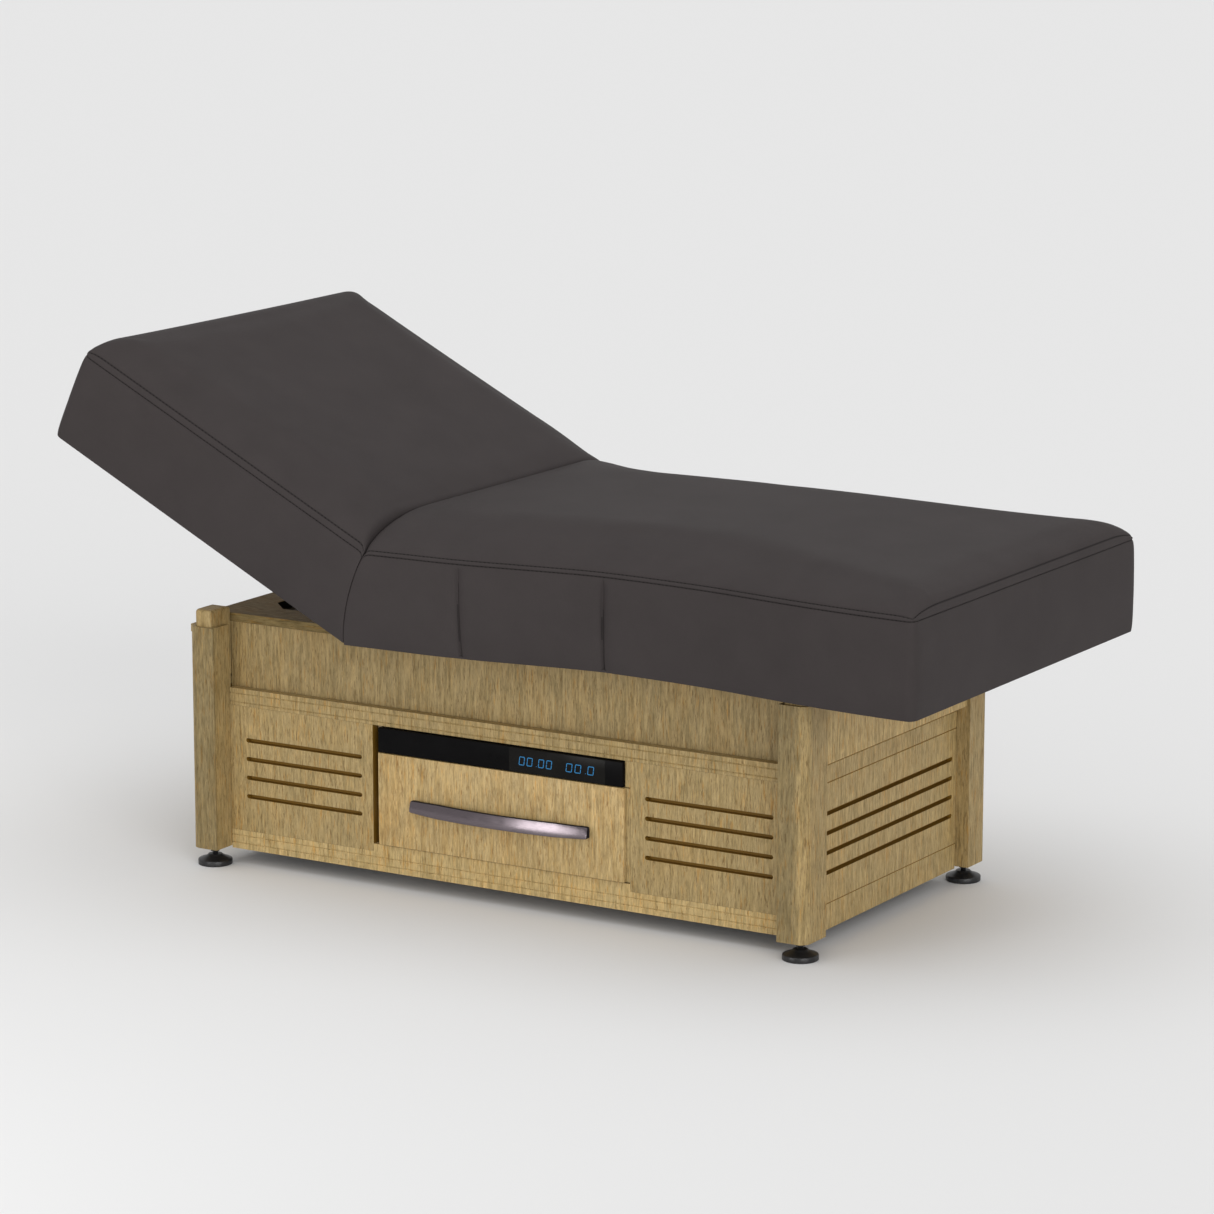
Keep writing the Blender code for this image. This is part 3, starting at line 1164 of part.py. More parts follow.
def main():
    for old in list(bpy.data.objects):
        bpy.data.objects.remove(old)
    root = bpy.data.objects.new("treatment_table", None)
    bpy.context.collection.objects.link(root)
    make_body("base", (0.0, 0.0, 0.0), root)
    make_body("lift", (0.0, 0.0, BOARD_TOP), root)
    make_body("backrest", (HINGE_X, 0.0, HINGE_HEIGHT), root, tilt=REST_TILT)
    make_body("drawer", (0.0, -FRONT_Y, HANDLE_HEIGHT), root)
    make_body("tilt_rod", (pin_place(), 0.0, HINGE_HEIGHT - LEVER_DROP), root)
    for name, side_x, side_y in corners():
        make_body("foot_" + name, (side_x * FOOT_X, side_y * FOOT_Y, 0.0), root)
    corner_posts()
    guide_posts()
    levelling_feet()
    front_rails()
    vent_panels()
    end_panels()
    rear_panel()
    base_frame()
    lifting_columns()
    drawer_case()
    drawer()
    drawer_handle()
    control_unit()
    shroud()
    alcove()
    top_board()
    hinge()
    seat_support()
    back_support()
    tilt_lever()
    tilt_actuator()
    tilt_rod()
    cushions()
    centre_on_floor(root)


main()
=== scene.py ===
"""Looks of the spa treatment table: veneered cabinet, charcoal vinyl mattress, drawer and readouts.
"""
import json
import math

import bmesh
import bpy
import numpy as np
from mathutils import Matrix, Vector

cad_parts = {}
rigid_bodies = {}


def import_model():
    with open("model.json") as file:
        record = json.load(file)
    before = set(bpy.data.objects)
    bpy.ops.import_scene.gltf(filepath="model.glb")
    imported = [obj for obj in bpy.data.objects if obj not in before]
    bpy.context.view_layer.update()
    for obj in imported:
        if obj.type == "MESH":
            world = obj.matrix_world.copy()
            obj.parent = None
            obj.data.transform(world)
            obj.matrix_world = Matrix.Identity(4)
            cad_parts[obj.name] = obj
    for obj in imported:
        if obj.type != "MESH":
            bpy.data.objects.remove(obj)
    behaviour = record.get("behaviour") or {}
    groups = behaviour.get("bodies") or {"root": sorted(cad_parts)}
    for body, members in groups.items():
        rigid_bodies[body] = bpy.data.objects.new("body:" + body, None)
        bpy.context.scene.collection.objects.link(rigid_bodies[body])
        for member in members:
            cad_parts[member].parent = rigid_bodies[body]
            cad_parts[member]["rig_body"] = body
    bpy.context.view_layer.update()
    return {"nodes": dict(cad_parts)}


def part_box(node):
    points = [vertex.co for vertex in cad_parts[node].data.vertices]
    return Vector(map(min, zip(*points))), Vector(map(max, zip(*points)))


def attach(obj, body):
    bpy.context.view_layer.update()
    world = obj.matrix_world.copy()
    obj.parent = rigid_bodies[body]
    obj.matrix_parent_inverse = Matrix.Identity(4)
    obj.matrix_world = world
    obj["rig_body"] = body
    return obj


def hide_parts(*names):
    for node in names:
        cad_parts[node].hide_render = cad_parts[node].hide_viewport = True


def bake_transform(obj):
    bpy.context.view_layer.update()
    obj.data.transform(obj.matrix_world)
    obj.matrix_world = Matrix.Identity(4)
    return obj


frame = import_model()
NODES = frame["nodes"]

# The table's own axes pass through the middle of the top board
board_low, board_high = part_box("top_board")
MID_X = (board_low.x + board_high.x) / 2
MID_Y = (board_low.y + board_high.y) / 2

# Cabinet, measured from the table's own axes
HALF_LENGTH = 0.603
HALF_WIDTH = 0.2836
DRAWER_FACE = 0.2896
POST_REACH = 0.3316
FRONT_FACE = -HALF_WIDTH + MID_Y
END_FACE = HALF_LENGTH + MID_X
HEAD_FACE = -HALF_LENGTH + MID_X
POST_FACE = -POST_REACH + MID_Y

# Mattress. The hinge, the seam's height, the split and the pockets are the solids' own values.
# The outline, the crown and the end at the foot follow the photograph.
HINGE_X, HINGE_Z = -0.234, 0.478
TILT = math.radians(26.7)
SKIRT_DROP = 0.017          # lower edge below the hinge
SKIRT_Z = HINGE_Z - SKIRT_DROP
SEAM = 0.166                # top seam above the lower edge
HALF = 0.421                # half of the width
CORNER = 0.016              # rounding of the outline's corners
END_DRAW = 0.4              # share of the side's draw that the end has
SPLIT_X = -0.244            # lower edge of the split
SPLIT_GAP = 0.0008
SPLIT_ROUND = 0.009         # rounding of the cover's edge at the split
LEAN_TOP = 0.0437           # how far the split leans to the foot end, up to the seam
LEAN_POWER = 1.9
LEAN_RUN = 0.150            # length of cushion over which the lean fades
BACK_LEAN_RUN = LEAN_RUN * 1.15
BACK_FLARE = 0.006
SEAT_END = 0.8695
BACK_END = 0.697
POCKET = 0.0303             # hollow under each cushion, for its deck
POCKET_HALF = 0.340
SEAT_POCKET_END = 0.825
BACK_POCKET_END = 0.630
DECK_EDGE = 0.030           # width over which the straight cut over the decks fades

# The crown and its rise. near and far are the runs over which the cover rises from each side. Over the last
# stretch, reach, the runs shrink to the share tight, and the crown goes over into end_crown.
SEAT_DOME = {"crown": 0.056, "end_crown": 0.037, "near": 0.200, "far": 0.200, "power": 0.65, "tight": 0.47,
             "reach": 0.5}
BACK_DOME = {"crown": 0.050, "end_crown": 0.041, "near": 0.125, "far": 0.085, "power": 0.50, "tight": 0.60,
             "reach": 0.6}
SPLIT_FAR_RUN = 0.120       # the far side's run at the split
SPLIT_FAR_REACH = 0.2
END_RUN = 0.040

# Half of the seat's width on the near side, by the place along the table
NEAR_SIDE = ((-0.235, 0.4060), (-0.15, 0.4030), (-0.065, 0.4010), (0.0, 0.3960), (0.082, 0.3830),
             (0.157, 0.3710), (0.226, 0.3615), (0.308, 0.3620), (0.388, 0.3670), (0.468, 0.3745),
             (0.554, 0.3885), (0.635, 0.4015), (0.715, 0.4115), (0.79, 0.4175), (0.868, 0.4205))
NEAR_SIDE_WINDOW = (-0.03, -0.015, 0.0, 0.015, 0.03)
BACK_WAIST = 0.014

# How far the side stands in, by height as a share of the seam's
SIDE_HEIGHTS = (0, 0.04, 0.125, 0.3, 0.5, 0.7, 0.875, 0.95, 1.0)
SIDE_DRAWS = (0.0042, 0.0026, 0.0012, 0.0004, 0.0, 0.0004, 0.0016, 0.0028, 0.0046)

# Grid of the covers: its quads away from the seams, and the lines beside seams, edges and pockets
GRID = 0.0125
GRID_MERGE = 0.0006
GRID_MARGIN = 0.045
SIDE_MARGIN = 0.046
SEAM_STEPS = (0.0, 0.0010, 0.0020, 0.0027, 0.0034, 0.0044, 0.0060, 0.009, 0.013, 0.018, 0.025, 0.034)
LOW_STEPS = (0.0, 0.0015, 0.004, 0.008)
LOW_MARGIN = 0.016
SPLIT_STEPS = (0.0, 0.0015, 0.004, 0.009, 0.016, 0.024)
SPLIT_MARGIN = 0.034
POCKET_STEPS = (-0.002, 0.002)
CHANNEL_STEPS = (-0.02, -0.013, -0.008, -0.0045, -0.002, 0.0, 0.002, 0.004, 0.006, 0.0085, 0.013, 0.02)

# Sewing. Depths are pressed in along the cover's normal, and widths are those of a bell curve
CHANNELS = (-0.017, 0.250)  # places of the vertical seams
CHANNEL_PULLS = (0.006, 0.001)
CHANNEL_PULL_WIDTH = 0.03
STITCH = 0.0027             # each stitch line's distance from the seam
STITCH_DEPTH, STITCH_WIDTH = 0.0017, 0.0010
ROLL_DEPTH, ROLL_WIDTH = 0.0012, 0.010
WELT_HEIGHT, WELT_WIDTH = 0.0006, 0.0022
SEWN_REACH = 0.05           # distance from the seam within which these are pressed in
# Band around each stitch line whose faces take the darker seam vinyl, painted shade
STITCHED_FROM, STITCHED_TO = 0.0019, 0.0035
HOLLOW_DEPTH, HOLLOW_WIDTH, HOLLOW_SPREAD = 0.0048, 0.0085, 0.004
CREASE_DEPTH, CREASE_WIDTH, CREASE_LEAST, CREASE_GAIN = 0.0040, 0.0017, 0.5, 0.7
LIP_HEIGHT, LIP_PLACE, LIP_WIDTH = 0.0012, -0.0065, 0.004
CHANNEL_TAPER = 9           # how fast a vertical seam starts below the top seam
CREASE_HALF = 0.0021        # half width of a vertical seam's painted shade line
CREASE_TRIM = 0.0001        # what is left of its head end half above CREASE_CHANGE
CREASE_CHANGE, CREASE_TOP = 0.55, 0.97

# Cloth run: the most that a point moves, and how far seams, lower edge and split hold the cover
PUFF_CAP = 0.005
PUFF_FRAMES = 20
HOLD_RUN, HOLD_LOW, HOLD_SPLIT = 0.020, 0.012, 0.03

# Thread. A strand's rings are (place along it, share of its radius, height in radii)
THREAD_LENGTH, THREAD_GAP, THREAD_RADIUS = 0.0050, 0.0028, 0.00055
THREAD_RINGS = ((0.0, 0.35, -0.2), (0.22, 1.0, 0.55), (0.78, 1.0, 0.55), (1.0, 0.35, -0.2))
THREAD_CORNERS = (0.3, 1.35, 2.4, 3.44, 4.49, 5.54)


# Materials

def new_material(name):
    made = bpy.data.materials.new(name)
    made.use_nodes = True
    tree = made.node_tree
    return made, tree, tree.nodes["Principled BSDF"]


def wired(tree, kind, **settings):
    """Add a node and set its properties."""
    node = tree.nodes.new(kind)
    for key, value in settings.items():
        setattr(node, key, value)
    return node


def object_space(tree, scale, shift=(0.0, 0.0, 0.0)):
    coords = wired(tree, "ShaderNodeTexCoord")
    mapping = wired(tree, "ShaderNodeMapping")
    mapping.inputs["Scale"].default_value = scale
    mapping.inputs["Location"].default_value = shift
    tree.links.new(coords.outputs["Object"], mapping.inputs["Vector"])
    return mapping.outputs["Vector"]


def noise(tree, scale, detail, rough, shift=(0.0, 0.0, 0.0)):
    node = wired(tree, "ShaderNodeTexNoise")
    tree.links.new(object_space(tree, scale, shift), node.inputs["Vector"])
    node.inputs["Scale"].default_value = 1.0
    node.inputs["Detail"].default_value = detail
    node.inputs["Roughness"].default_value = rough
    return node.outputs["Fac"]


def even_noise(tree, scale, detail, rough):
    return noise(tree, (scale, scale, scale), detail, rough)


def grey(value):
    return (value, value, value)


def tinted(colour, share):
    return tuple(channel * share for channel in colour)


def all_tinted(colours, share):
    return [tinted(colour, share) for colour in colours]


def ramp(tree, factor, stops):
    node = wired(tree, "ShaderNodeValToRGB")
    tree.links.new(factor, node.inputs["Fac"])
    elements = node.color_ramp.elements
    while len(elements) < len(stops):
        elements.new(0.5)
    for element, (place, colour) in zip(elements, stops):
        element.position = place
        element.color = (*colour, 1.0)
    return node.outputs["Color"]


def spread(tree, factor, low, high):
    """From low to high over the middle of a noise's range."""
    return ramp(tree, factor, [(0.3, low), (0.7, high)])


def mix(tree, factor, first, second, blend="MIX"):
    """Blend of two colours. Each of the three inputs is a socket or a plain value."""
    node = wired(tree, "ShaderNodeMix", data_type="RGBA", blend_type=blend)
    inputs = {socket.identifier: socket for socket in node.inputs}
    for identifier, value in (("Factor_Float", factor), ("A_Color", first), ("B_Color", second)):
        socket = inputs[identifier]
        if isinstance(value, bpy.types.NodeSocket):
            tree.links.new(value, socket)
        elif isinstance(value, tuple):
            socket.default_value = (*value, 1.0)
        else:
            socket.default_value = value
    return next(socket for socket in node.outputs if socket.identifier == "Result_Color")


def bump(tree, shader, height, strength, distance, below=None):
    """Bump map over the one below, wired to the shader."""
    node = wired(tree, "ShaderNodeBump")
    tree.links.new(height, node.inputs["Height"])
    node.inputs["Strength"].default_value = strength
    node.inputs["Distance"].default_value = distance
    if below is not None:
        tree.links.new(below, node.inputs["Normal"])
    tree.links.new(node.outputs["Normal"], shader.inputs["Normal"])
    return node.outputs["Normal"]


def dress(tree, shader, colour, roughness):
    tree.links.new(colour, shader.inputs["Base Color"])
    tree.links.new(roughness, shader.inputs["Roughness"])


def band(tree, axis, start, end):
    """0 at start and 1 at end along one of the frame's axes."""
    coords = wired(tree, "ShaderNodeTexCoord")
    split = wired(tree, "ShaderNodeSeparateXYZ")
    tree.links.new(coords.outputs["Object"], split.inputs["Vector"])
    scaled = wired(tree, "ShaderNodeMapRange")
    tree.links.new(split.outputs[axis], scaled.inputs["Value"])
    scaled.inputs["From Min"].default_value = start
    scaled.inputs["From Max"].default_value = end
    return scaled.outputs["Result"]


def product(tree, masks):
    result = masks[0]
    for mask in masks[1:]:
        node = wired(tree, "ShaderNodeMath", operation="MULTIPLY")
        tree.links.new(result, node.inputs[0])
        tree.links.new(mask, node.inputs[1])
        result = node.outputs["Value"]
    return result


# Noises of the veneer: scale across the grain, scale along it, detail, roughness, shift from the others
GRAIN_NOISES = {
    "streaks": (140, 11, 5, 0.66, 0.0),
    "fibres": (330, 42, 4, 0.75, 0.0),
    "mottle": (22, 6, 4, 0.6, 0.0),
    "flecks": (210, 21, 3, 0.7, 11.3),
    "pores": (400, 52, 2, 0.6, 0.0),
}

# What three of them multiply the wood's colour by: (noise, share, colours)
GRAIN_TINTS = (
    ("fibres", 1.0, ((0.34, (0.66, 0.65, 0.62)), (0.50, grey(1.0)), (0.66, (1.27, 1.26, 1.22)))),
    ("mottle", 0.8, ((0.32, (0.94, 0.95, 0.97)), (0.5, grey(1.0)), (0.68, (1.08, 1.02, 0.93)))),
    ("flecks", 0.85, ((0.57, grey(1.0)), (0.66, (1.02, 0.80, 0.50)))),
)
PORE_STOPS = ((0.60, grey(0.0)), (0.69, grey(0.8)))
PORE_TINT = (0.72, 0.62, 0.50)


def veneer(name, light, middle, dark, grain="Z", shift=0.0, shade_paint=None, rough=0.5, level=0.22):
    """Pale open-grained veneer, its grain along Z or X.

    Shade is painted through (bands, tint, multiply): where all bands are 1, the wood takes the tint or is
    multiplied by it.
    """
    made, tree, shader = new_material(name)
    offset = (shift, shift * 1.7, shift * 0.6)
    layer = {}
    for kind, (across, run, detail, noise_rough, extra) in GRAIN_NOISES.items():
        scale = (across, across, run) if grain == "Z" else (run, across, across)
        layer[kind] = noise(tree, scale, detail, noise_rough, tuple(place + extra for place in offset))
    colour = ramp(tree, layer["streaks"], [(0.22, dark), (0.43, middle), (0.58, light), (0.80, middle)])
    for kind, share, stops in GRAIN_TINTS:
        colour = mix(tree, share, colour, ramp(tree, layer[kind], stops), "MULTIPLY")
    pore_colour = tuple(channel * share for channel, share in zip(dark, PORE_TINT))
    colour = mix(tree, ramp(tree, layer["pores"], PORE_STOPS), colour, pore_colour)
    # Painted shade: darken the wood where all the bands are 1
    if shade_paint:
        bands, tint, multiply = shade_paint
        mask = product(tree, [band(tree, *edges) for edges in bands])
        shaded_colour = mix(tree, 1.0, colour, tint, "MULTIPLY") if multiply else tint
        colour = mix(tree, mask, colour, shaded_colour)
    dress(tree, shader, colour, spread(tree, layer["fibres"], grey(rough + 0.12), grey(rough - 0.06)))
    shader.inputs["Specular IOR Level"].default_value = level
    under = bump(tree, shader, layer["pores"], 0.25, 0.0002)
    bump(tree, shader, layer["fibres"], 0.2, 0.00025, under)
    return made


def vinyl(name, colour):
    """Charcoal upholstery vinyl with a fine grain, faint mottling and a soft sheen. The grain's creases are
    painted darker, as painted shade.
    """
    made, tree, shader = new_material(name)
    cells = wired(tree, "ShaderNodeTexVoronoi", feature="DISTANCE_TO_EDGE")
    tree.links.new(object_space(tree, (720, 720, 720)), cells.inputs["Vector"])
    cells.inputs["Scale"].default_value = 1.0
    creases = ramp(tree, cells.outputs["Distance"], [(0.0, grey(0.0)), (0.22, grey(1.0))])
    fine = even_noise(tree, 1500, 3, 0.6)
    broad = even_noise(tree, 9, 4, 0.6)
    hills = even_noise(tree, 38, 3, 0.5)
    tint = spread(tree, broad, tinted(colour, 0.93), tinted(colour, 1.07))
    # Painted shade: the grain's creases are darker
    tint = mix(tree, 0.25, tint, mix(tree, creases, tinted(colour, 0.6), tint))
    dress(tree, shader, tint, spread(tree, fine, grey(0.50), grey(0.62)))
    shader.inputs["Specular IOR Level"].default_value = 0.05
    under = bump(tree, shader, creases, 0.35, 0.00012)
    under = bump(tree, shader, fine, 0.15, 0.00006, under)
    bump(tree, shader, hills, 0.12, 0.0006, under)
    return made


def plastic(name, colour, rough, strength=0.2, level=0.5):
    """Moulded plastic with a fine grain and a little dust."""
    made, tree, shader = new_material(name)
    grain = even_noise(tree, 900, 3, 0.6)
    dust = even_noise(tree, 24, 4, 0.6)
    tint = spread(tree, dust, tinted(colour, 0.85), tinted(colour, 1.2))
    dress(tree, shader, tint, spread(tree, dust, grey(rough - 0.05), grey(rough + 0.06)))
    shader.inputs["Specular IOR Level"].default_value = level
    bump(tree, shader, grain, strength, 0.00008)
    return made


def metal(name, colour, rough, brush, strength=0.15):
    """Brushed metal: the grain runs where brush has its small number."""
    made, tree, shader = new_material(name)
    lines = noise(tree, brush, 3, 0.6)
    wear = even_noise(tree, 30, 4, 0.6)
    shader.inputs["Metallic"].default_value = 1.0
    tint = spread(tree, lines, tinted(colour, 0.86), tinted(colour, 1.12))
    dress(tree, shader, tint, spread(tree, wear, grey(rough - 0.04), grey(rough + 0.07)))
    bump(tree, shader, lines, strength, 0.00005)
    return made


def powder_coat(name, colour):
    """Painted steel with the fine orange peel of powder."""
    made, tree, shader = new_material(name)
    peel = even_noise(tree, 650, 2, 0.5)
    patches = even_noise(tree, 18, 4, 0.6)
    tint = spread(tree, patches, tinted(colour, 0.8), tinted(colour, 1.3))
    dress(tree, shader, tint, spread(tree, peel, grey(0.42), grey(0.58)))
    bump(tree, shader, peel, 0.25, 0.00015)
    return made


def glow(name, colour, strength):
    """Lit segments of a readout."""
    made, tree, shader = new_material(name)
    flicker = even_noise(tree, 300, 2, 0.5)
    tint = spread(tree, flicker, tinted(colour, 0.8), tinted(colour, 1.15))
    tree.links.new(tint, shader.inputs["Base Color"])
    tree.links.new(tint, shader.inputs["Emission Color"])
    shader.inputs["Emission Strength"].default_value = strength
    return made


# Painted shade: dark brown in the panels' blind grooves and on their inner edges beside the drawer
GROOVE_SHADE_BROWN = (0.200, 0.105, 0.013)
GROOVE_START, GROOVE_FULL = 0.0006, 0.0012


def groove_shade(axis, face, inward):
    """Painted shade of the blind grooves: brown wherever the wood lies behind the panel's face."""
    return ([(axis, face + GROOVE_START * inward, face + GROOVE_FULL * inward)], GROOVE_SHADE_BROWN, False)


ASH_LIGHT, ASH_MIDDLE, ASH_DARK = (0.375, 0.275, 0.127), (0.305, 0.222, 0.096), (0.225, 0.160, 0.066)
ASH = (ASH_LIGHT, ASH_MIDDLE, ASH_DARK)
POST_ASH = (tinted(ASH_LIGHT, 0.98), tinted(ASH_MIDDLE, 0.96), ASH_DARK)
# Painted shade: the upper panels' veneer is made darker, for the shade under the mattress
SHADED_UPPER_ASH = (tinted(ASH_LIGHT, 0.90), tinted(ASH_MIDDLE, 0.89), tinted(ASH_DARK, 0.95))
# Painted shade: the top board's veneer is made darker, for the shade under the mattress
SHADED_BOARD_ASH = (tinted(ASH_MIDDLE, 0.62), tinted(ASH_MIDDLE, 0.52), tinted(ASH_DARK, 0.60))
DRAWER_ASH = ((0.480, 0.350, 0.165), (0.405, 0.285, 0.122), (0.325, 0.205, 0.075))
BIRCH = ((0.52, 0.40, 0.25), (0.45, 0.34, 0.20), (0.38, 0.28, 0.16))

# Painted shade: the posts' front faces are darker, up to the rounded edge at the foot end
POST_FRONT = ("Y", POST_FACE + 0.005, POST_FACE + 0.001)
POST_ROUND = ("X", 0.616 + MID_X, 0.602 + MID_X)
POST_PAINTED_SHADE = ([POST_FRONT, POST_ROUND], (0.66, 0.67, 0.67), True)

# Painted shade: the top board is black below its upper face and behind its front edge, and so are its
# opening's walls
BOARD_UNDER = ("Z", 0.4566, 0.4558)
BOARD_BEHIND = ("Y", MID_Y - 0.20, MID_Y - 0.18)
BOARD_PAINTED_SHADE = ([BOARD_UNDER, BOARD_BEHIND], (0.008, 0.007, 0.006), False)

FINISHES = {
    "veneer": veneer("ash_veneer", *ASH),
    "post": veneer("ash_veneer_posts", *POST_ASH, shift=3.1, shade_paint=POST_PAINTED_SHADE),
    "front_vents": veneer("ash_veneer_front_panels", *ASH, shift=1.3, shade_paint=groove_shade("Y", FRONT_FACE, 1)),
    # Painted light: the foot end's panel is made lighter, as if lit more from that side
    "foot_vents": veneer("ash_veneer_foot_panel_painted_light", *all_tinted(ASH, 1.12), shift=5.2,
                         shade_paint=groove_shade("X", END_FACE, -1)),
    "head_vents": veneer("ash_veneer_head_panel", *ASH, shift=6.4, shade_paint=groove_shade("X", HEAD_FACE, 1)),
    "shroud": veneer("ash_veneer_upper_panels_painted_shade", *SHADED_UPPER_ASH, shift=7.7),
    # Painted light: the end skirts and the bottom rail are made lighter, as if lit more
    "skirt": veneer("ash_veneer_end_skirts_painted_light", *all_tinted(ASH, 1.32), shift=8.3),
    "low_rail": veneer("ash_veneer_bottom_rail_painted_light", *all_tinted(ASH, 1.32), shift=10.1),
    "drawer": veneer("ash_veneer_drawer", *DRAWER_ASH, shift=9.2, rough=0.42),
    "board": veneer("ash_veneer_top_board", *SHADED_BOARD_ASH, grain="X", shift=2.2, shade_paint=BOARD_PAINTED_SHADE, level=0.05),
    "ply": veneer("birch_ply", *BIRCH, grain="X", shift=4.4, rough=0.6),
    "vinyl": vinyl("charcoal_vinyl", (0.0475, 0.0407, 0.0402)),
    # Painted shade: darker vinyl on the stitch lines and in the vertical seams' creases
    "seam": vinyl("charcoal_seam_painted_shade", (0.0320, 0.0276, 0.0272)),
    "thread": vinyl("charcoal_thread", (0.0070, 0.0062, 0.0060)),
    "strip": plastic("black_strip", (0.0034, 0.0032, 0.0034), 0.30, level=0.04),
    "pane": plastic("display_pane", (0.0082, 0.0076, 0.0068), 0.22, strength=0.03, level=0.06),
    "foot": plastic("black_foot_plastic", (0.010, 0.010, 0.011), 0.38),
    "motor": plastic("black_motor_housing", (0.018, 0.018, 0.020), 0.5),
    "steel": powder_coat("black_powder_coat", (0.020, 0.020, 0.022)),
    "bright": metal("zinc_plated_steel", (0.56, 0.56, 0.57), 0.32, (60, 900, 900)),
    "handle": metal("dark_nickel", (0.152, 0.128, 0.139), 0.17, (30, 1400, 1400), 0.08),
    # Painted shade: near black on the bar's top, back, lower edge and ends
    "handle_edge": plastic("painted_shade_edge", (0.010, 0.010, 0.016), 0.45, level=0.10),
    "blue": glow("readout_blue", (0.004, 0.13, 0.30), 0.42),
}

# Finish of the CAD nodes by the start of their names. The first row that fits counts, and the rest are steel
NODE_FINISHES = (
    ("post", ("corner_post", "guide_post")),
    ("front_vents", ("front_vent_panel",)),
    ("foot_vents", ("end_panel_foot",)),
    ("head_vents", ("end_panel_head",)),
    ("low_rail", ("front_bottom_rail",)),
    ("veneer", ("front_", "rear_panel")),
    ("skirt", ("shroud_end",)),
    ("shroud", ("shroud",)),
    ("drawer", ("drawer_front",)),
    ("board", ("top_board",)),
    ("ply", ("drawer_case", "drawer_box", "drawer_alcove", "seat_deck", "back_deck")),
    ("strip", ("control_strip",)),
    ("pane", ("control_display",)),
    ("motor", ("lift_motor", "tilt_actuator", "control_box", "power_inlet")),
    ("bright", ("drawer_runner", "hinge_shaft", "actuator_rod")),
    ("foot", ("levelling_foot",)),
    ("handle", ("drawer_handle",)),
    ("vinyl", ("seat_cushion", "back_cushion")),
)


def paint_frame():
    """Give every CAD node its own finish."""
    for name, obj in NODES.items():
        kind = next((kind for kind, starts in NODE_FINISHES if name.startswith(starts)), "steel")
        obj.data.materials.clear()
        obj.data.materials.append(FINISHES[kind])


paint_frame()


# Mesh helpers

def new_object(name, bm, material, angle=35.0):
    mesh = bpy.data.meshes.new(name)
    bmesh.ops.recalc_face_normals(bm, faces=bm.faces)
    bm.to_mesh(mesh)
    bm.free()
    made = bpy.data.objects.new(name, mesh)
    bpy.context.collection.objects.link(made)
    mesh.materials.append(material)
    mesh.shade_smooth()
    mesh.set_sharp_from_angle(angle=math.radians(angle))
    return made


def steps(start, end, size):
    count = max(1, round(abs(end - start) / size))
    return [start + (end - start) * i / count for i in range(count + 1)]


def merged(*lists, gap):
    """Sorted places from several lists, without near doubles."""
    kept = []
    for value in sorted(v for values in lists for v in values):
        if not kept or value - kept[-1] > gap:
            kept.append(value)
    return kept


def tube(bm, rings):
    """Walls between rings of equal size, and a face at each end. Returns (corner, wall) pairs and ends."""
    walls = []
    for lower, upper in zip(rings, rings[1:]):
        for corner in range(len(lower)):
            face = bm.faces.new((lower[corner - 1], lower[corner], upper[corner], upper[corner - 1]))
            walls.append((corner, face))
    return walls, [bm.faces.new(rings[0]), bm.faces.new(rings[-1])]


# Mattress

def limited(share):
    return min(1.0, max(0.0, share))


def rise(distance, run, power=0.5):
    return (1 - (1 - limited(distance / run)) ** 2) ** power


def smooth(share):
    share = limited(share)
    return share * share * (3 - 2 * share)


SEARCH_REACH, SEARCH_ROUNDS = 0.25, 40

# Distance from the top seam that is given where no seam is near
AWAY = 1.0


def dome(a, b, length, shape):
    """Height of the cover over the seam, lower and tighter at the end. a runs from the split, b across."""
    from_end, from_side = length - a, HALF - abs(b)
    near_end = 1 - smooth(from_end / shape["reach"])
    far_run = SPLIT_FAR_RUN + (shape["far"] - SPLIT_FAR_RUN) * smooth(a / SPLIT_FAR_REACH)
    run = shape["near"] if b < 0 else far_run
    run *= 1 - (1 - shape["tight"]) * near_end
    height = shape["crown"] + (shape["end_crown"] - shape["crown"]) * near_end
    return height * rise(from_side, run, shape["power"]) * rise(from_end, END_RUN)


def side_draw(share):
    """How far the side stands in from its fullest line, by height as a share of the seam's."""
    return float(np.interp(share, SIDE_HEIGHTS, SIDE_DRAWS))


def lean(height):
    """How far the split has moved to the foot end at a height over the skirt's edge."""
    return LEAN_TOP * limited(height / SEAM) ** LEAN_POWER


def back_offset(height):
    """Distance from the hinge back to the split, in the back section's frame, at a local height."""
    low, high = -SEARCH_REACH, SEARCH_REACH
    for _ in range(SEARCH_ROUNDS):
        middle = (low + high) / 2
        x = HINGE_X - middle * math.cos(TILT) + height * math.sin(TILT)
        z = HINGE_Z + middle * math.sin(TILT) + height * math.cos(TILT)
        if x > SPLIT_X + lean(z - SKIRT_Z) - SPLIT_GAP:
            low = middle
        else:
            high = middle
    return (low + high) / 2


def plan_point(a, b, length, draw):
    """Rounded plan of a cushion: a runs from the split, b across it."""
    end, half = length - END_DRAW * draw, HALF - draw
    x, y = a * end / length, b * half / HALF
    past_end = (x - (end - CORNER)) / CORNER
    past_side = (abs(y) - (half - CORNER)) / CORNER
    if past_end > 0 and past_side > 0:
        x = end - CORNER + CORNER * past_end * math.sqrt(1 - past_side * past_side / 2)
        rounded = half - CORNER + CORNER * past_side * math.sqrt(1 - past_end * past_end / 2)
        y = math.copysign(rounded, y)
    return x, y


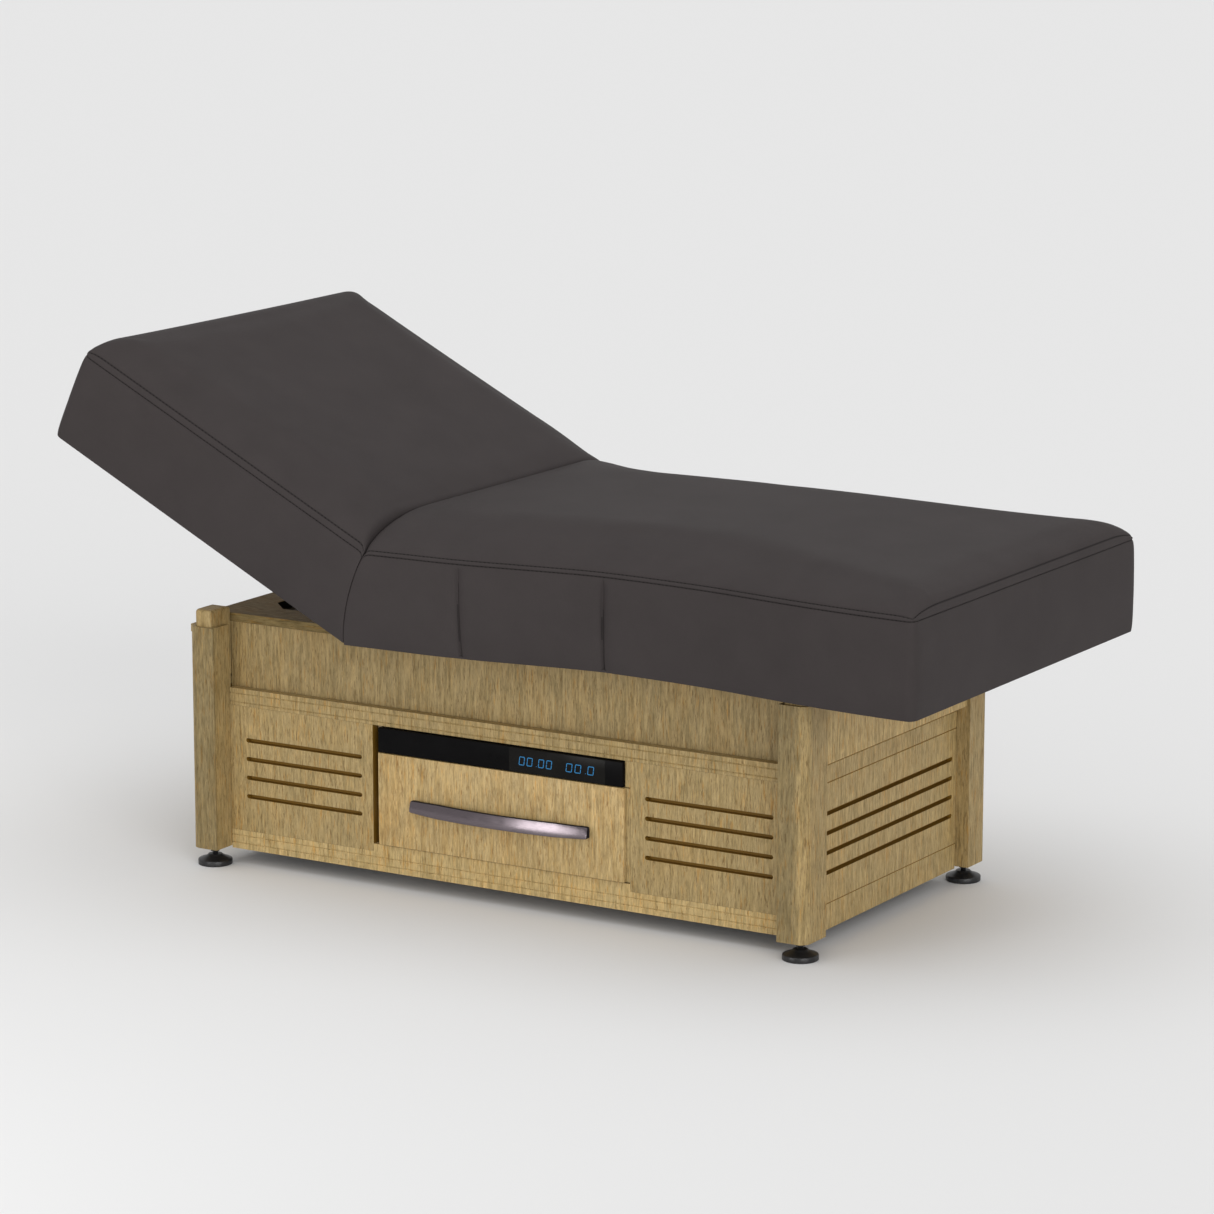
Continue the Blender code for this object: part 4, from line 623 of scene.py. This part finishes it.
def cushion_grid(length, xs, waist, pocket_end, place, shape):
    """A closed box of quads, shaped as a cushion. Returns the bmesh, its points' facts and the grid lines."""
    ys = merged([side * (HALF - step) for side in (-1, 1) for step in SEAM_STEPS],
                [side * (POCKET_HALF + step) for side in (-1, 1) for step in POCKET_STEPS],
                steps(-HALF + SIDE_MARGIN, HALF - SIDE_MARGIN, GRID), gap=GRID_MERGE)
    hs = merged(LOW_STEPS, [SEAM - step for step in SEAM_STEPS],
                steps(LOW_MARGIN, SEAM - GRID_MARGIN, GRID), gap=GRID_MERGE)
    nx, ny, nz = len(xs) - 1, len(ys) - 1, len(hs) - 1
    bm = bmesh.new()
    verts, facts = {}, []
    for i, a in enumerate(xs):
        for j, b in enumerate(ys):
            side, end = j in (0, ny), i == nx
            whole = side or i in (0, nx)
            fillet = max(0.0, SPLIT_ROUND - a)
            top = SEAM + dome(a, b, length, shape)
            top -= SPLIT_ROUND - math.sqrt(SPLIT_ROUND ** 2 - fillet ** 2)
            bottom = POCKET if abs(b) < POCKET_HALF and a < pocket_end else 0.0
            for k in (range(nz + 1) if whole else (0, nz)):
                share = hs[k] / SEAM
                x, y = plan_point(a, b, length, side_draw(share))
                y += waist(x) * (HALF - y) / (2 * HALF)
                h = bottom + (top - bottom) * share
                verts[i, j, k] = bm.verts.new(place(x, y, h))
                seam = AWAY
                if k == nz:
                    seam = min(HALF - abs(b), length - a)
                elif side or end:
                    seam = SEAM - hs[k]
                facts.append({"seam": seam, "top": k == nz, "low": k == 0, "split": i == 0, "side": side,
                              "x": x, "h": h, "a": a, "key": (i, j, k)})
    sides = [[[(i, j, k) for j in range(ny + 1)] for i in range(nx + 1)] for k in (0, nz)]
    sides += [[[(i, j, k) for k in range(nz + 1)] for i in range(nx + 1)] for j in (0, ny)]
    sides += [[[(i, j, k) for k in range(nz + 1)] for j in range(ny + 1)] for i in (0, nx)]
    for rows in sides:
        for row, following in zip(rows, rows[1:]):
            for keys in zip(row, row[1:], following[1:], following):
                bm.faces.new([verts[key] for key in keys])
    return bm, facts, ys, hs


def seat_place(x, y, h):
    """A point of the seat cushion. Over the decks the split is cut straight, as room for the tilting deck."""
    fade = smooth(1 - x / LEAN_RUN)
    over_deck = smooth((POCKET_HALF + DECK_EDGE - abs(y)) / DECK_EDGE)
    straight = LEAN_TOP * limited(h / SEAM)
    moved = lean(h) + (straight - lean(h)) * over_deck
    return Vector((SPLIT_X + x + moved * fade + MID_X, y + MID_Y, SKIRT_Z + h))


BACK_START = back_offset(-SKIRT_DROP)
BACK_LENGTH = BACK_END - BACK_START
SEAT_LENGTH = SEAT_END - SPLIT_X


def back_place(x, y, h):
    """A point of the back cushion, which reaches a little further at the top than below."""
    local = h - SKIRT_DROP
    fade = smooth(1 - x / BACK_LEAN_RUN)
    flare = BACK_FLARE * min(1.0, h / SEAM) * min(1.0, x / BACK_LENGTH)
    along_back = -(x + BACK_START + (back_offset(local) - BACK_START) * fade + flare)
    return Vector((HINGE_X + along_back * math.cos(TILT) + local * math.sin(TILT) + MID_X, y + MID_Y,
                   HINGE_Z - along_back * math.sin(TILT) + local * math.cos(TILT)))


def seat_waist(x):
    """How far the near side stands in from the far side's mirror image."""
    places, halves = zip(*NEAR_SIDE)
    window = [x + SPLIT_X + step for step in NEAR_SIDE_WINDOW]
    return HALF - float(np.mean(np.interp(window, places, halves)))


def back_waist(x):
    """The back's near side stands in by the same amount all along."""
    return BACK_WAIST


def pinned(facts):
    """How firmly the cloth run holds each point: wholly at the split and below, and less away from a seam."""
    pins = {}
    for number, fact in enumerate(facts):
        held = max(0.0, 1 - fact["seam"] / HOLD_RUN)
        if fact["low"] or fact["split"] or fact["h"] < HOLD_LOW or fact["seam"] == AWAY:
            held = 1.0
        if fact["top"] and fact["a"] < HOLD_SPLIT:
            held = max(held, 1 - fact["a"] / HOLD_SPLIT)
        if held > 0:
            pins[number] = held
    return pins


def puffed(obj, pins, cap):
    """Inflate the cover between its pinned seams with a short cloth run, and keep its result."""
    group = obj.vertex_groups.new(name="sewn")
    for index, weight in pins.items():
        group.add([index], weight, "REPLACE")
    rest = np.array([v.co for v in obj.data.vertices])
    cloth = obj.modifiers.new("inflate", "CLOTH")
    settings = cloth.settings
    settings.quality = 4
    settings.mass = 0.3
    settings.tension_stiffness = 12
    settings.compression_stiffness = 12
    settings.bending_stiffness = 0.6
    settings.vertex_group_mass = "sewn"
    settings.use_pressure = True
    settings.uniform_pressure_force = 4.0
    settings.effector_weights.gravity = 0.0
    cloth.collision_settings.use_collision = False
    cloth.point_cache.frame_start = 1
    cloth.point_cache.frame_end = PUFF_FRAMES
    scene = bpy.context.scene
    for number in range(1, PUFF_FRAMES + 1):
        scene.frame_set(number)
    solved = obj.evaluated_get(bpy.context.evaluated_depsgraph_get())
    moved = np.array([v.co for v in solved.data.vertices])
    obj.modifiers.remove(cloth)
    scene.frame_set(1)
    shift = moved - rest
    size = np.linalg.norm(shift, axis=1, keepdims=True)
    limit = cap * np.tanh(size / cap)
    tiny = 1e-9
    shift *= np.where(size > tiny, limit / np.maximum(size, tiny), 0.0)
    obj.data.vertices.foreach_set("co", (rest + shift).astype(np.float32).ravel())
    obj.data.update()
    obj.vertex_groups.clear()


def groove(distance, place, width):
    return math.exp(-((distance - place) / width) ** 2)


def seam_depth(distance):
    """Depth of the double-stitched seam: two pressed stitch lines and the welt between them."""
    stitched = STITCH_DEPTH * groove(distance, STITCH, STITCH_WIDTH)
    rolled = ROLL_DEPTH * groove(distance, 0.0, ROLL_WIDTH)
    return stitched + rolled - WELT_HEIGHT * groove(distance, 0.0, WELT_WIDTH)


def channel_depth(off, height):
    """Depth of a vertical seam: a soft hollow, a sharp crease and a lip on the side of the head end."""
    taper = limited((1.0 - height) * CHANNEL_TAPER)
    hollow = HOLLOW_DEPTH * groove(off, 0.0, HOLLOW_WIDTH + HOLLOW_SPREAD * (1 - height))
    crease = CREASE_DEPTH * groove(off, 0.0, CREASE_WIDTH) * (CREASE_LEAST + CREASE_GAIN * (1 - height))
    lip = LIP_HEIGHT * groove(off, LIP_PLACE, LIP_WIDTH)
    return taper * (hollow + crease - lip)


def creased(corners, channels):
    """Whether a face lies in the painted shade line of a vertical seam, which is half as wide higher up."""
    if not all(fact["side"] and fact["h"] < CREASE_TOP * SEAM for fact in corners):
        return False
    left = CREASE_HALF if corners[0]["h"] < CREASE_CHANGE * SEAM else CREASE_TRIM
    rows = [[fact["x"] - (seam - SPLIT_X) for fact in corners] for seam in channels]
    return any(min(row) > -left and max(row) < CREASE_HALF for row in rows)


def sew(obj, facts, channels):
    """Press the double-stitched seam and the vertical seams into the finished cover."""
    mesh = obj.data
    normals = [v.normal.copy() for v in mesh.vertices]
    for vert, fact, normal in zip(mesh.vertices, facts, normals):
        depth = 0.0
        if fact["seam"] < SEWN_REACH:
            depth += seam_depth(fact["seam"])
        if fact["side"]:
            height = fact["h"] / SEAM
            for pull, seam in zip(CHANNEL_PULLS, channels):
                off = fact["x"] - (seam - SPLIT_X)
                vert.co.x += pull * (1 - height) * groove(off, 0.0, CHANNEL_PULL_WIDTH)
                depth += channel_depth(off, height)
        vert.co -= normal * depth
    mesh.update()
    # Faces on a stitch line or in a vertical seam's crease take the darker seam vinyl: painted shade
    mesh.materials.append(FINISHES["seam"])
    for face in mesh.polygons:
        corners = [facts[number] for number in face.vertices]
        stitched = all(STITCHED_FROM < fact["seam"] < STITCHED_TO for fact in corners)
        face.material_index = 1 if stitched or creased(corners, channels) else 0


def stitch_line(bm, points, normals):
    """Lay thread along a polyline: short raised strands that dip at each end."""
    points = [np.array(p) for p in points]
    lengths = [0.0]
    for before, after in zip(points, points[1:]):
        lengths.append(lengths[-1] + float(np.linalg.norm(after - before)))
    stack, rows = np.array(points), np.array([list(n) for n in normals])

    def at(distance, table):
        return Vector(np.array([np.interp(distance, lengths, table[:, axis]) for axis in range(3)]))

    place = THREAD_GAP
    while place + THREAD_LENGTH < lengths[-1]:
        start, end = at(place, stack), at(place + THREAD_LENGTH, stack)
        up = at(place + THREAD_LENGTH / 2, rows).normalized()
        run = (end - start).normalized()
        side = run.cross(up).normalized()
        rings = []
        for share, size, height in THREAD_RINGS:
            centre = start.lerp(end, share) + up * THREAD_RADIUS * height
            spokes = [side * math.cos(turn) + up * math.sin(turn) for turn in THREAD_CORNERS]
            rings.append([bm.verts.new(centre + THREAD_RADIUS * size * spoke) for spoke in spokes])
        tube(bm, rings)
        place += THREAD_LENGTH + THREAD_GAP


def nearest(values, target):
    return min(range(len(values)), key=lambda n: abs(values[n] - target))


def seam_paths(facts, xs, ys, hs, length):
    """Vertex rows that carry the two stitch lines: one on the side, one on the top."""
    nx, ny, nz = len(xs) - 1, len(ys) - 1, len(hs) - 1
    index = {fact["key"]: number for number, fact in enumerate(facts)}
    k = nearest(hs, SEAM - STITCH)
    j_low, j_high = nearest(ys, -HALF + STITCH), nearest(ys, HALF - STITCH)
    i_end = nearest(xs, length - STITCH)
    side = ([index[i, 0, k] for i in range(1, nx)]
            + [index[nx, j, k] for j in range(ny)]
            + [index[i, ny, k] for i in range(nx, 0, -1)])
    top = ([index[i, j_low, nz] for i in range(1, i_end)]
           + [index[i_end, j, nz] for j in range(j_low, j_high)]
           + [index[i, j_high, nz] for i in range(i_end, 0, -1)])
    return side, top


def build_cushion(name, length, extra, waist, pocket_end, place, channels, shape):
    """A cover with its seams and its thread. extra are grid lines along it, beside its vertical seams."""
    xs = merged(SPLIT_STEPS, [length - step for step in SEAM_STEPS],
                steps(SPLIT_MARGIN, length - GRID_MARGIN, GRID), extra, gap=GRID_MERGE)
    bm, facts, ys, hs = cushion_grid(length, xs, waist, pocket_end, place, shape)
    obj = new_object(name, bm, FINISHES["vinyl"], angle=80)
    puffed(obj, pinned(facts), PUFF_CAP)
    sew(obj, facts, channels)
    mesh = obj.data
    thread = bmesh.new()
    for row in seam_paths(facts, xs, ys, hs, length):
        stitch_line(thread, [mesh.vertices[n].co for n in row], [mesh.vertices[n].normal for n in row])
    stitches = new_object(name + "_stitching", thread, FINISHES["thread"], angle=60)
    subdivision = obj.modifiers.new("smooth", "SUBSURF")
    subdivision.levels = subdivision.render_levels = 1
    solved = obj.evaluated_get(bpy.context.evaluated_depsgraph_get())
    finished = bpy.data.meshes.new_from_object(solved)
    obj.modifiers.remove(subdivision)
    obj.data = finished
    finished.shade_smooth()
    return obj, stitches


channel_lines = [seam - SPLIT_X + step for seam in CHANNELS for step in CHANNEL_STEPS]
seat, seat_stitches = build_cushion("seat_upholstery", SEAT_LENGTH, channel_lines, seat_waist,
                                    SEAT_POCKET_END - SPLIT_X, seat_place, CHANNELS, SEAT_DOME)
back, back_stitches = build_cushion("back_upholstery", BACK_LENGTH, (), back_waist,
                                    BACK_POCKET_END - BACK_START, back_place, (), BACK_DOME)

for piece in (seat, seat_stitches):
    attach(piece, "lift")
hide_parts("seat_cushion")

# The back's cover is kept in the table's frame, in place of the CAD back cushion and its fold
for piece in (back, back_stitches):
    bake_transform(piece)
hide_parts("back_cushion", "back_cushion_fold")


# Drawer handle

HANDLE_HALF = 0.1815
HANDLE_BOW = 0.017
HANDLE_THICK = 0.012
HANDLE_SEAT = 0.016         # length of each end that lies on the drawer front
HANDLE_CLEAR = 0.0003
HANDLE_SHIFT = 0.0022
HANDLE_HEIGHT = 0.1602
HANDLE_END_STEPS = (0.0, 0.0008, 0.0025)
HANDLE_SEAT_STEPS = (-0.0006, 0.0006)
HANDLE_GRID = 0.006
HANDLE_MERGE = 0.0003
BAR_TALL, BAR_SWELL, BAR_END_DRAW = 0.020, 0.004, 0.0012
FACE_POINTS = 13
FACE_CROWN, FACE_SLANT, FACE_EDGE = 0.0008, 0.0019, 0.0006
FACE_TOP, FACE_BOTTOM = 0.0056, 0.0016
BACK_EDGE, BACK_RECESS, BACK_EASE = 0.0010, 0.0002, 0.0009


def handle_section(x):
    """Outline of the bar at a place along it: its face from the lower edge up, then its back."""
    radius = (HANDLE_HALF * HANDLE_HALF + HANDLE_BOW * HANDLE_BOW) / (2 * HANDLE_BOW)
    seat_y = -DRAWER_FACE - HANDLE_CLEAR
    bowed = math.sqrt(radius * radius - x * x) - (radius - HANDLE_BOW)
    share = 1 - abs(x) / HANDLE_HALF
    tall = (BAR_TALL + BAR_SWELL * min(1.0, 3 * share)) / 2
    tall -= BAR_END_DRAW * max(0.0, 1 - (HANDLE_HALF - abs(x)) / HANDLE_END_STEPS[-1]) ** 2
    outer = seat_y - bowed - HANDLE_THICK
    inner = seat_y if abs(x) > HANDLE_HALF - HANDLE_SEAT else seat_y - bowed
    face = [(outer + FACE_CROWN * s * s + FACE_SLANT * (s + 1), s * (tall - FACE_EDGE))
            for s in np.linspace(-1, 1, FACE_POINTS)]
    upper, lower = outer + FACE_TOP, outer + FACE_BOTTOM
    start, end, ease = inner - BACK_EDGE, inner - BACK_RECESS, BACK_EASE
    return face + [(upper, tall), (start, tall), (end, tall - ease), (end, -tall + ease), (start, -tall),
                   (lower, -tall)]


def handle():
    """Bowed flat bar with a crowned face, its two ends seated on the drawer front."""
    ends = [side * (HANDLE_HALF - step) for side in (-1, 1) for step in HANDLE_END_STEPS]
    seats = [side * (HANDLE_HALF - HANDLE_SEAT + step) for side in (-1, 1) for step in HANDLE_SEAT_STEPS]
    inside = steps(-HANDLE_HALF + HANDLE_GRID, HANDLE_HALF - HANDLE_GRID, HANDLE_GRID)
    bm = bmesh.new()
    rings = []
    for x in merged(ends, seats, inside, gap=HANDLE_MERGE):
        rings.append([bm.verts.new((x + HANDLE_SHIFT + MID_X, y + MID_Y, HANDLE_HEIGHT + z))
                      for y, z in handle_section(x)])
    walls, caps = tube(bm, rings)
    # The bar's face is nickel; its other faces and its ends are near black, painted shade
    for corner, face in walls:
        face.material_index = 0 if 0 < corner < FACE_POINTS else 1
    for face in caps:
        face.material_index = 1
    made = new_object("bowed_handle", bm, FINISHES["handle"], angle=40)
    made.data.materials.append(FINISHES["handle_edge"])
    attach(made, "drawer")
    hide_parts("drawer_handle")


handle()


# Drawer front and control strip

EDGE_SHARE = 0.2            # the most of a plate's thickness that an eased edge takes


def plate(name, low, high, material, body, node, edge):
    """Flat piece with eased edges. It stands for a CAD node where one is named."""
    edge = min(edge, EDGE_SHARE * min(b - a for a, b in zip(low, high)))
    bm = bmesh.new()
    bmesh.ops.create_cube(bm, size=1.0)
    for vert in bm.verts:
        for axis in range(3):
            vert.co[axis] = (low[axis] + high[axis]) / 2 + vert.co[axis] * (high[axis] - low[axis])
    bmesh.ops.bevel(bm, geom=bm.edges[:], offset=edge, segments=3, affect="EDGES", profile=0.5)
    made = new_object(name, bm, material, angle=40)
    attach(made, body)
    if node:
        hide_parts(node)


# The strip's lower edge, a little above the solid's, as the photograph shows it
STRIP_BOTTOM = 0.2480
STRIP_GAP = 0.0018
STRIP_INSETS = (0.0006, 0.0020)
PANE_PROUD = 0.0004
PANE_INSET = 0.0004
front_low, front_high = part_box("drawer_front")
strip_low, strip_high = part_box("control_strip")
pane_low, pane_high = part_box("control_display")
plate("drawer_face", front_low, (front_high.x, front_high.y, STRIP_BOTTOM - STRIP_GAP),
      FINISHES["drawer"], "drawer", "drawer_front", 0.0010)
plate("strip_face", (strip_low.x + STRIP_INSETS[0], strip_low.y, STRIP_BOTTOM),
      (strip_high.x - STRIP_INSETS[1], strip_high.y, strip_high.z),
      FINISHES["strip"], "base", "control_strip", 0.0008)
plate("strip_pane", (pane_low.x, strip_low.y - PANE_PROUD, STRIP_BOTTOM + PANE_INSET),
      (pane_high.x, pane_high.y, strip_high.z - PANE_INSET),
      FINISHES["pane"], "base", "control_display", 0.0003)

# Behind its face the drawer front has a step that covers the runner's gap at the foot end.
# The strip has a lipping there.
COVER_RECESS, COVER_DEPTH, COVER_EDGE = 0.0003, 0.0108, 0.0003
STEP_OVERLAP, STEP_CLEAR, STEP_LOW, STEP_TOP = 0.0004, 0.0006, 0.0002, 0.0020
LIPPING_OVERLAP, LIPPING_CLEAR, LIPPING_DROP, LIPPING_TOP = 0.0012, 0.0003, 0.0004, 0.0002
panel_low, panel_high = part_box("front_vent_panel_foot")
cover_front, cover_back = panel_low.y + COVER_RECESS, panel_low.y + COVER_DEPTH
plate("drawer_face_step", (front_high.x - STEP_OVERLAP, cover_front, front_low.z + STEP_LOW),
      (panel_low.x - STEP_CLEAR, cover_back, STRIP_BOTTOM - STEP_TOP),
      FINISHES["veneer"], "drawer", None, COVER_EDGE)
plate("strip_lipping", (strip_high.x - LIPPING_OVERLAP, cover_front, STRIP_BOTTOM - LIPPING_DROP),
      (panel_low.x - LIPPING_CLEAR, cover_back, panel_high.z - LIPPING_TOP),
      FINISHES["veneer"], "base", None, COVER_EDGE)


# Levelling feet

# The profile is (radius, height), from the middle of the sole up to the stem. The nut's levels are
# (height, share of its radius).
GLIDE_AROUND = 64
GLIDE_PROFILE = ((0.0, 0.0006), (0.0275, 0.0006), (0.0285, 0.0), (0.0297, 0.0), (0.0308, 0.0008),
                 (0.0310, 0.0018), (0.0310, 0.0082), (0.0303, 0.0096), (0.0290, 0.0104), (0.0265, 0.0110),
                 (0.0240, 0.0120), (0.0170, 0.0150), (0.0142, 0.0166), (0.0132, 0.0180), (0.0122, 0.0188),
                 (0.0050, 0.0190))
RIB_EVERY, RIB_DEPTH = 4, 0.0004
RIB_FROM, RIB_TO, RIB_RADIUS = 0.0015, 0.0085, 0.03
SCREW_FROM, SCREW_TO, SCREW_PITCH, SCREW_ROOT, SCREW_CREST = 0.0190, 0.0232, 0.0010, 0.0003, 0.0008
STEM_RADIUS, STEM_ROOT, STEM_TOP = 0.0050, 0.0046, 0.0555
NUT_RADIUS = 0.0090
NUT_LEVELS = ((0.0237, 0.93), (0.0245, 1.0), (0.0329, 1.0), (0.0337, 0.93))


def glide_ring(bm, x, y, radius, height):
    """Ring of a levelling foot, with the rim's ribs. It is one point on the axis."""
    if radius == 0.0:
        return [bm.verts.new((x, y, height))]
    on_rim = RIB_FROM < height < RIB_TO and radius > RIB_RADIUS
    ring = []
    for step in range(GLIDE_AROUND):
        angle = 2 * math.pi * step / GLIDE_AROUND
        ribbed = radius - (RIB_DEPTH if on_rim and step % RIB_EVERY == 0 else 0.0)
        ring.append(bm.verts.new((x + ribbed * math.cos(angle), y + ribbed * math.sin(angle), height)))
    return ring


def levelling_foot(node):
    """Moulded glide with a ribbed rim, a threaded stem and a hexagonal lock nut."""
    low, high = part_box(node)
    mid_x, mid_y = (low.x + high.x) / 2, (low.y + high.y) / 2
    profile = list(GLIDE_PROFILE)
    height = SCREW_FROM
    while height < SCREW_TO:
        profile += [(STEM_ROOT, height + SCREW_ROOT), (STEM_RADIUS, height + SCREW_CREST)]
        height += SCREW_PITCH
    profile += [(STEM_RADIUS, STEM_TOP), (0.0, STEM_TOP)]
    bm = bmesh.new()
    rings = [glide_ring(bm, mid_x, mid_y, radius, z) for radius, z in profile]
    for lower, upper in zip(rings, rings[1:]):
        for step in range(GLIDE_AROUND):
            if len(lower) == 1:
                bm.faces.new((lower[0], upper[step], upper[step - 1]))
            elif len(upper) == 1:
                bm.faces.new((lower[step - 1], lower[step], upper[0]))
            else:
                bm.faces.new((lower[step - 1], lower[step], upper[step], upper[step - 1]))
    made = new_object(node + "_glide", bm, FINISHES["foot"], angle=32)
    nut = bmesh.new()
    turns = [math.radians(60 * n) for n in range(6)]
    outline = [(NUT_RADIUS * math.cos(turn), NUT_RADIUS * math.sin(turn)) for turn in turns]
    tube(nut, [[nut.verts.new((mid_x + x * share, mid_y + y * share, z)) for x, y in outline]
               for z, share in NUT_LEVELS])
    lock = new_object(node + "_nut", nut, FINISHES["steel"], angle=20)
    body = NODES[node]["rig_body"]
    for part in (made, lock):
        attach(part, body)
    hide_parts(node)


for foot_node in sorted(n for n in NODES if n.startswith("levelling_foot")):
    levelling_foot(foot_node)


# Readouts

# The six bars of a nought, as shares of its width and height
NOUGHT = (((0, 1), (1, 1)), ((1, 1), (1, 0.5)), ((1, 0.5), (1, 0)), ((0, 0), (1, 0)), ((0, 0.5), (0, 0)),
          ((0, 1), (0, 0.5)))
DIGIT_SHARE = 0.62          # of a cell's width
POINT_CELL = 0.45           # width of a point's cell
POINT_PLACE, POINT_HEIGHT = 0.2, 0.06
LINE_SHARE = 0.06           # half of a bar's width, as a share of the height
DIGIT_SLANT = 0.12
BAR_DEPTHS = (0.0001, -0.00025)
BAR_SHARE, BAR_POINT = 0.8, 0.6


def bar(bm, start, end, line, place_x, place_y, place_z):
    """One bar with pointed ends, slanted as the digits are."""
    run = (end - start).normalized()
    side = Vector((-run.z, 0, run.x)) * line
    start, end = start + run * line * BAR_SHARE, end - run * line * BAR_SHARE
    point, side = run * line * BAR_POINT, side * BAR_SHARE
    outline = [start - point, start + side, end + side, end + point, end - side, start - side]
    tube(bm, [[bm.verts.new((place_x + p.x + DIGIT_SLANT * p.z, place_y + depth, place_z + p.z))
               for p in outline] for depth in BAR_DEPTHS])


def readout(name, text, x_start, x_end, z_middle, tall):
    """Plain noughts and points that stand a hair proud of the pane."""
    bm = bmesh.new()
    pitch = (x_end - x_start) / sum(POINT_CELL if character == "." else 1.0 for character in text)
    wide, line = pitch * DIGIT_SHARE, tall * LINE_SHARE
    place = x_start
    for character in text:
        if character == ".":
            x, z = POINT_PLACE * pitch, POINT_HEIGHT * tall
            bars = [((x, z - line), (x, z + line))]
        else:
            bars = [[(x * wide, z * tall) for x, z in ends] for ends in NOUGHT]
        for (start_x, start_z), (end_x, end_z) in bars:
            bar(bm, Vector((start_x, 0, start_z)), Vector((end_x, 0, end_z)), line,
                MID_X + place, strip_low.y - PANE_PROUD, z_middle - tall / 2)
        place += POINT_CELL * pitch if character == "." else pitch
    made = new_object(name, bm, FINISHES["blue"])
    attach(made, "base")


READOUT_HEIGHT, READOUT_TALL = 0.2690, 0.0140
readout("readout_left", "00.00", 0.0415, 0.1125, READOUT_HEIGHT, READOUT_TALL)
readout("readout_right", "00.0", 0.1365, 0.1975, READOUT_HEIGHT, READOUT_TALL)


# Stage, light and camera

def towards(azimuth, elevation):
    """Unit vector at these angles in degrees. Azimuth turns from -Y to +X."""
    around, up = math.radians(azimuth), math.radians(elevation)
    return Vector((math.sin(around) * math.cos(up), -math.cos(around) * math.cos(up), math.sin(up)))


def placed(name, data):
    made = bpy.data.objects.new(name, data)
    bpy.context.collection.objects.link(made)
    return made


def area_light(name, place, target, size, power, size_y):
    data = bpy.data.lights.new(name, "AREA")
    data.energy = power
    data.size = size
    data.shape = "RECTANGLE"
    data.size_y = size_y
    lamp = placed(name, data)
    lamp.location = place
    direction = Vector(target) - Vector(place)
    lamp.rotation_euler = direction.to_track_quat("-Z", "Y").to_euler()


def sun(name, azimuth, elevation, share, softness):
    """Distant lamp. share is what a white wall that faces it gains."""
    data = bpy.data.lights.new(name, "SUN")
    data.energy = share * math.pi
    data.angle = math.radians(softness)
    placed(name, data).rotation_euler = towards(azimuth, elevation).to_track_quat("Z", "Y").to_euler()


def floor():
    bm = bmesh.new()
    bmesh.ops.create_circle(bm, cap_ends=True, segments=96, radius=90)
    material, _, shader = new_material("pale_floor")
    made = new_object("floor", bm, material)
    shader.inputs["Base Color"].default_value = (0.765, 0.765, 0.765, 1)
    shader.inputs["Roughness"].default_value = 0.9
    shader.inputs["Specular IOR Level"].default_value = 0.0


WORLD_STRENGTH = 0.62
SOFTBOX_PLACE, SOFTBOX_TARGET = (-0.890, -3.155, 0.52), (0.065, -0.31, 0.16)
CAMERA_X, CAMERA_Y, CAMERA_Z = 4.2288, -6.8829, 2.1588
CAMERA_AZIMUTH, CAMERA_ELEVATION = 31.31, 11.72
CAMERA_LENS = 138.4
CAMERA_SENSOR = 36
CAMERA_REACH = 300

floor()
world = bpy.context.scene.world or bpy.data.worlds.new("studio")
bpy.context.scene.world = world
world.use_nodes = True
background = world.node_tree.nodes["Background"]
background.inputs["Color"].default_value = (1.0, 1.0, 1.0, 1)
background.inputs["Strength"].default_value = WORLD_STRENGTH
sun("side_sun", azimuth=50.0, elevation=14.0, share=0.41, softness=40.0)
sun("top_sun", azimuth=0.0, elevation=88.0, share=0.32, softness=80.0)
area_light("front_softbox", SOFTBOX_PLACE, SOFTBOX_TARGET, size=0.74, power=15, size_y=0.95)

camera_data = bpy.data.cameras.new("camera")
camera_data.lens = CAMERA_LENS
camera_data.sensor_width = CAMERA_SENSOR
camera_data.clip_end = CAMERA_REACH
camera = placed("camera", camera_data)
camera.location = (CAMERA_X + MID_X, CAMERA_Y + MID_Y, CAMERA_Z)
camera.rotation_euler = towards(CAMERA_AZIMUTH, CAMERA_ELEVATION).to_track_quat("Z", "Y").to_euler()
bpy.context.scene.camera = camera
bpy.context.scene.view_settings.view_transform = "Standard"
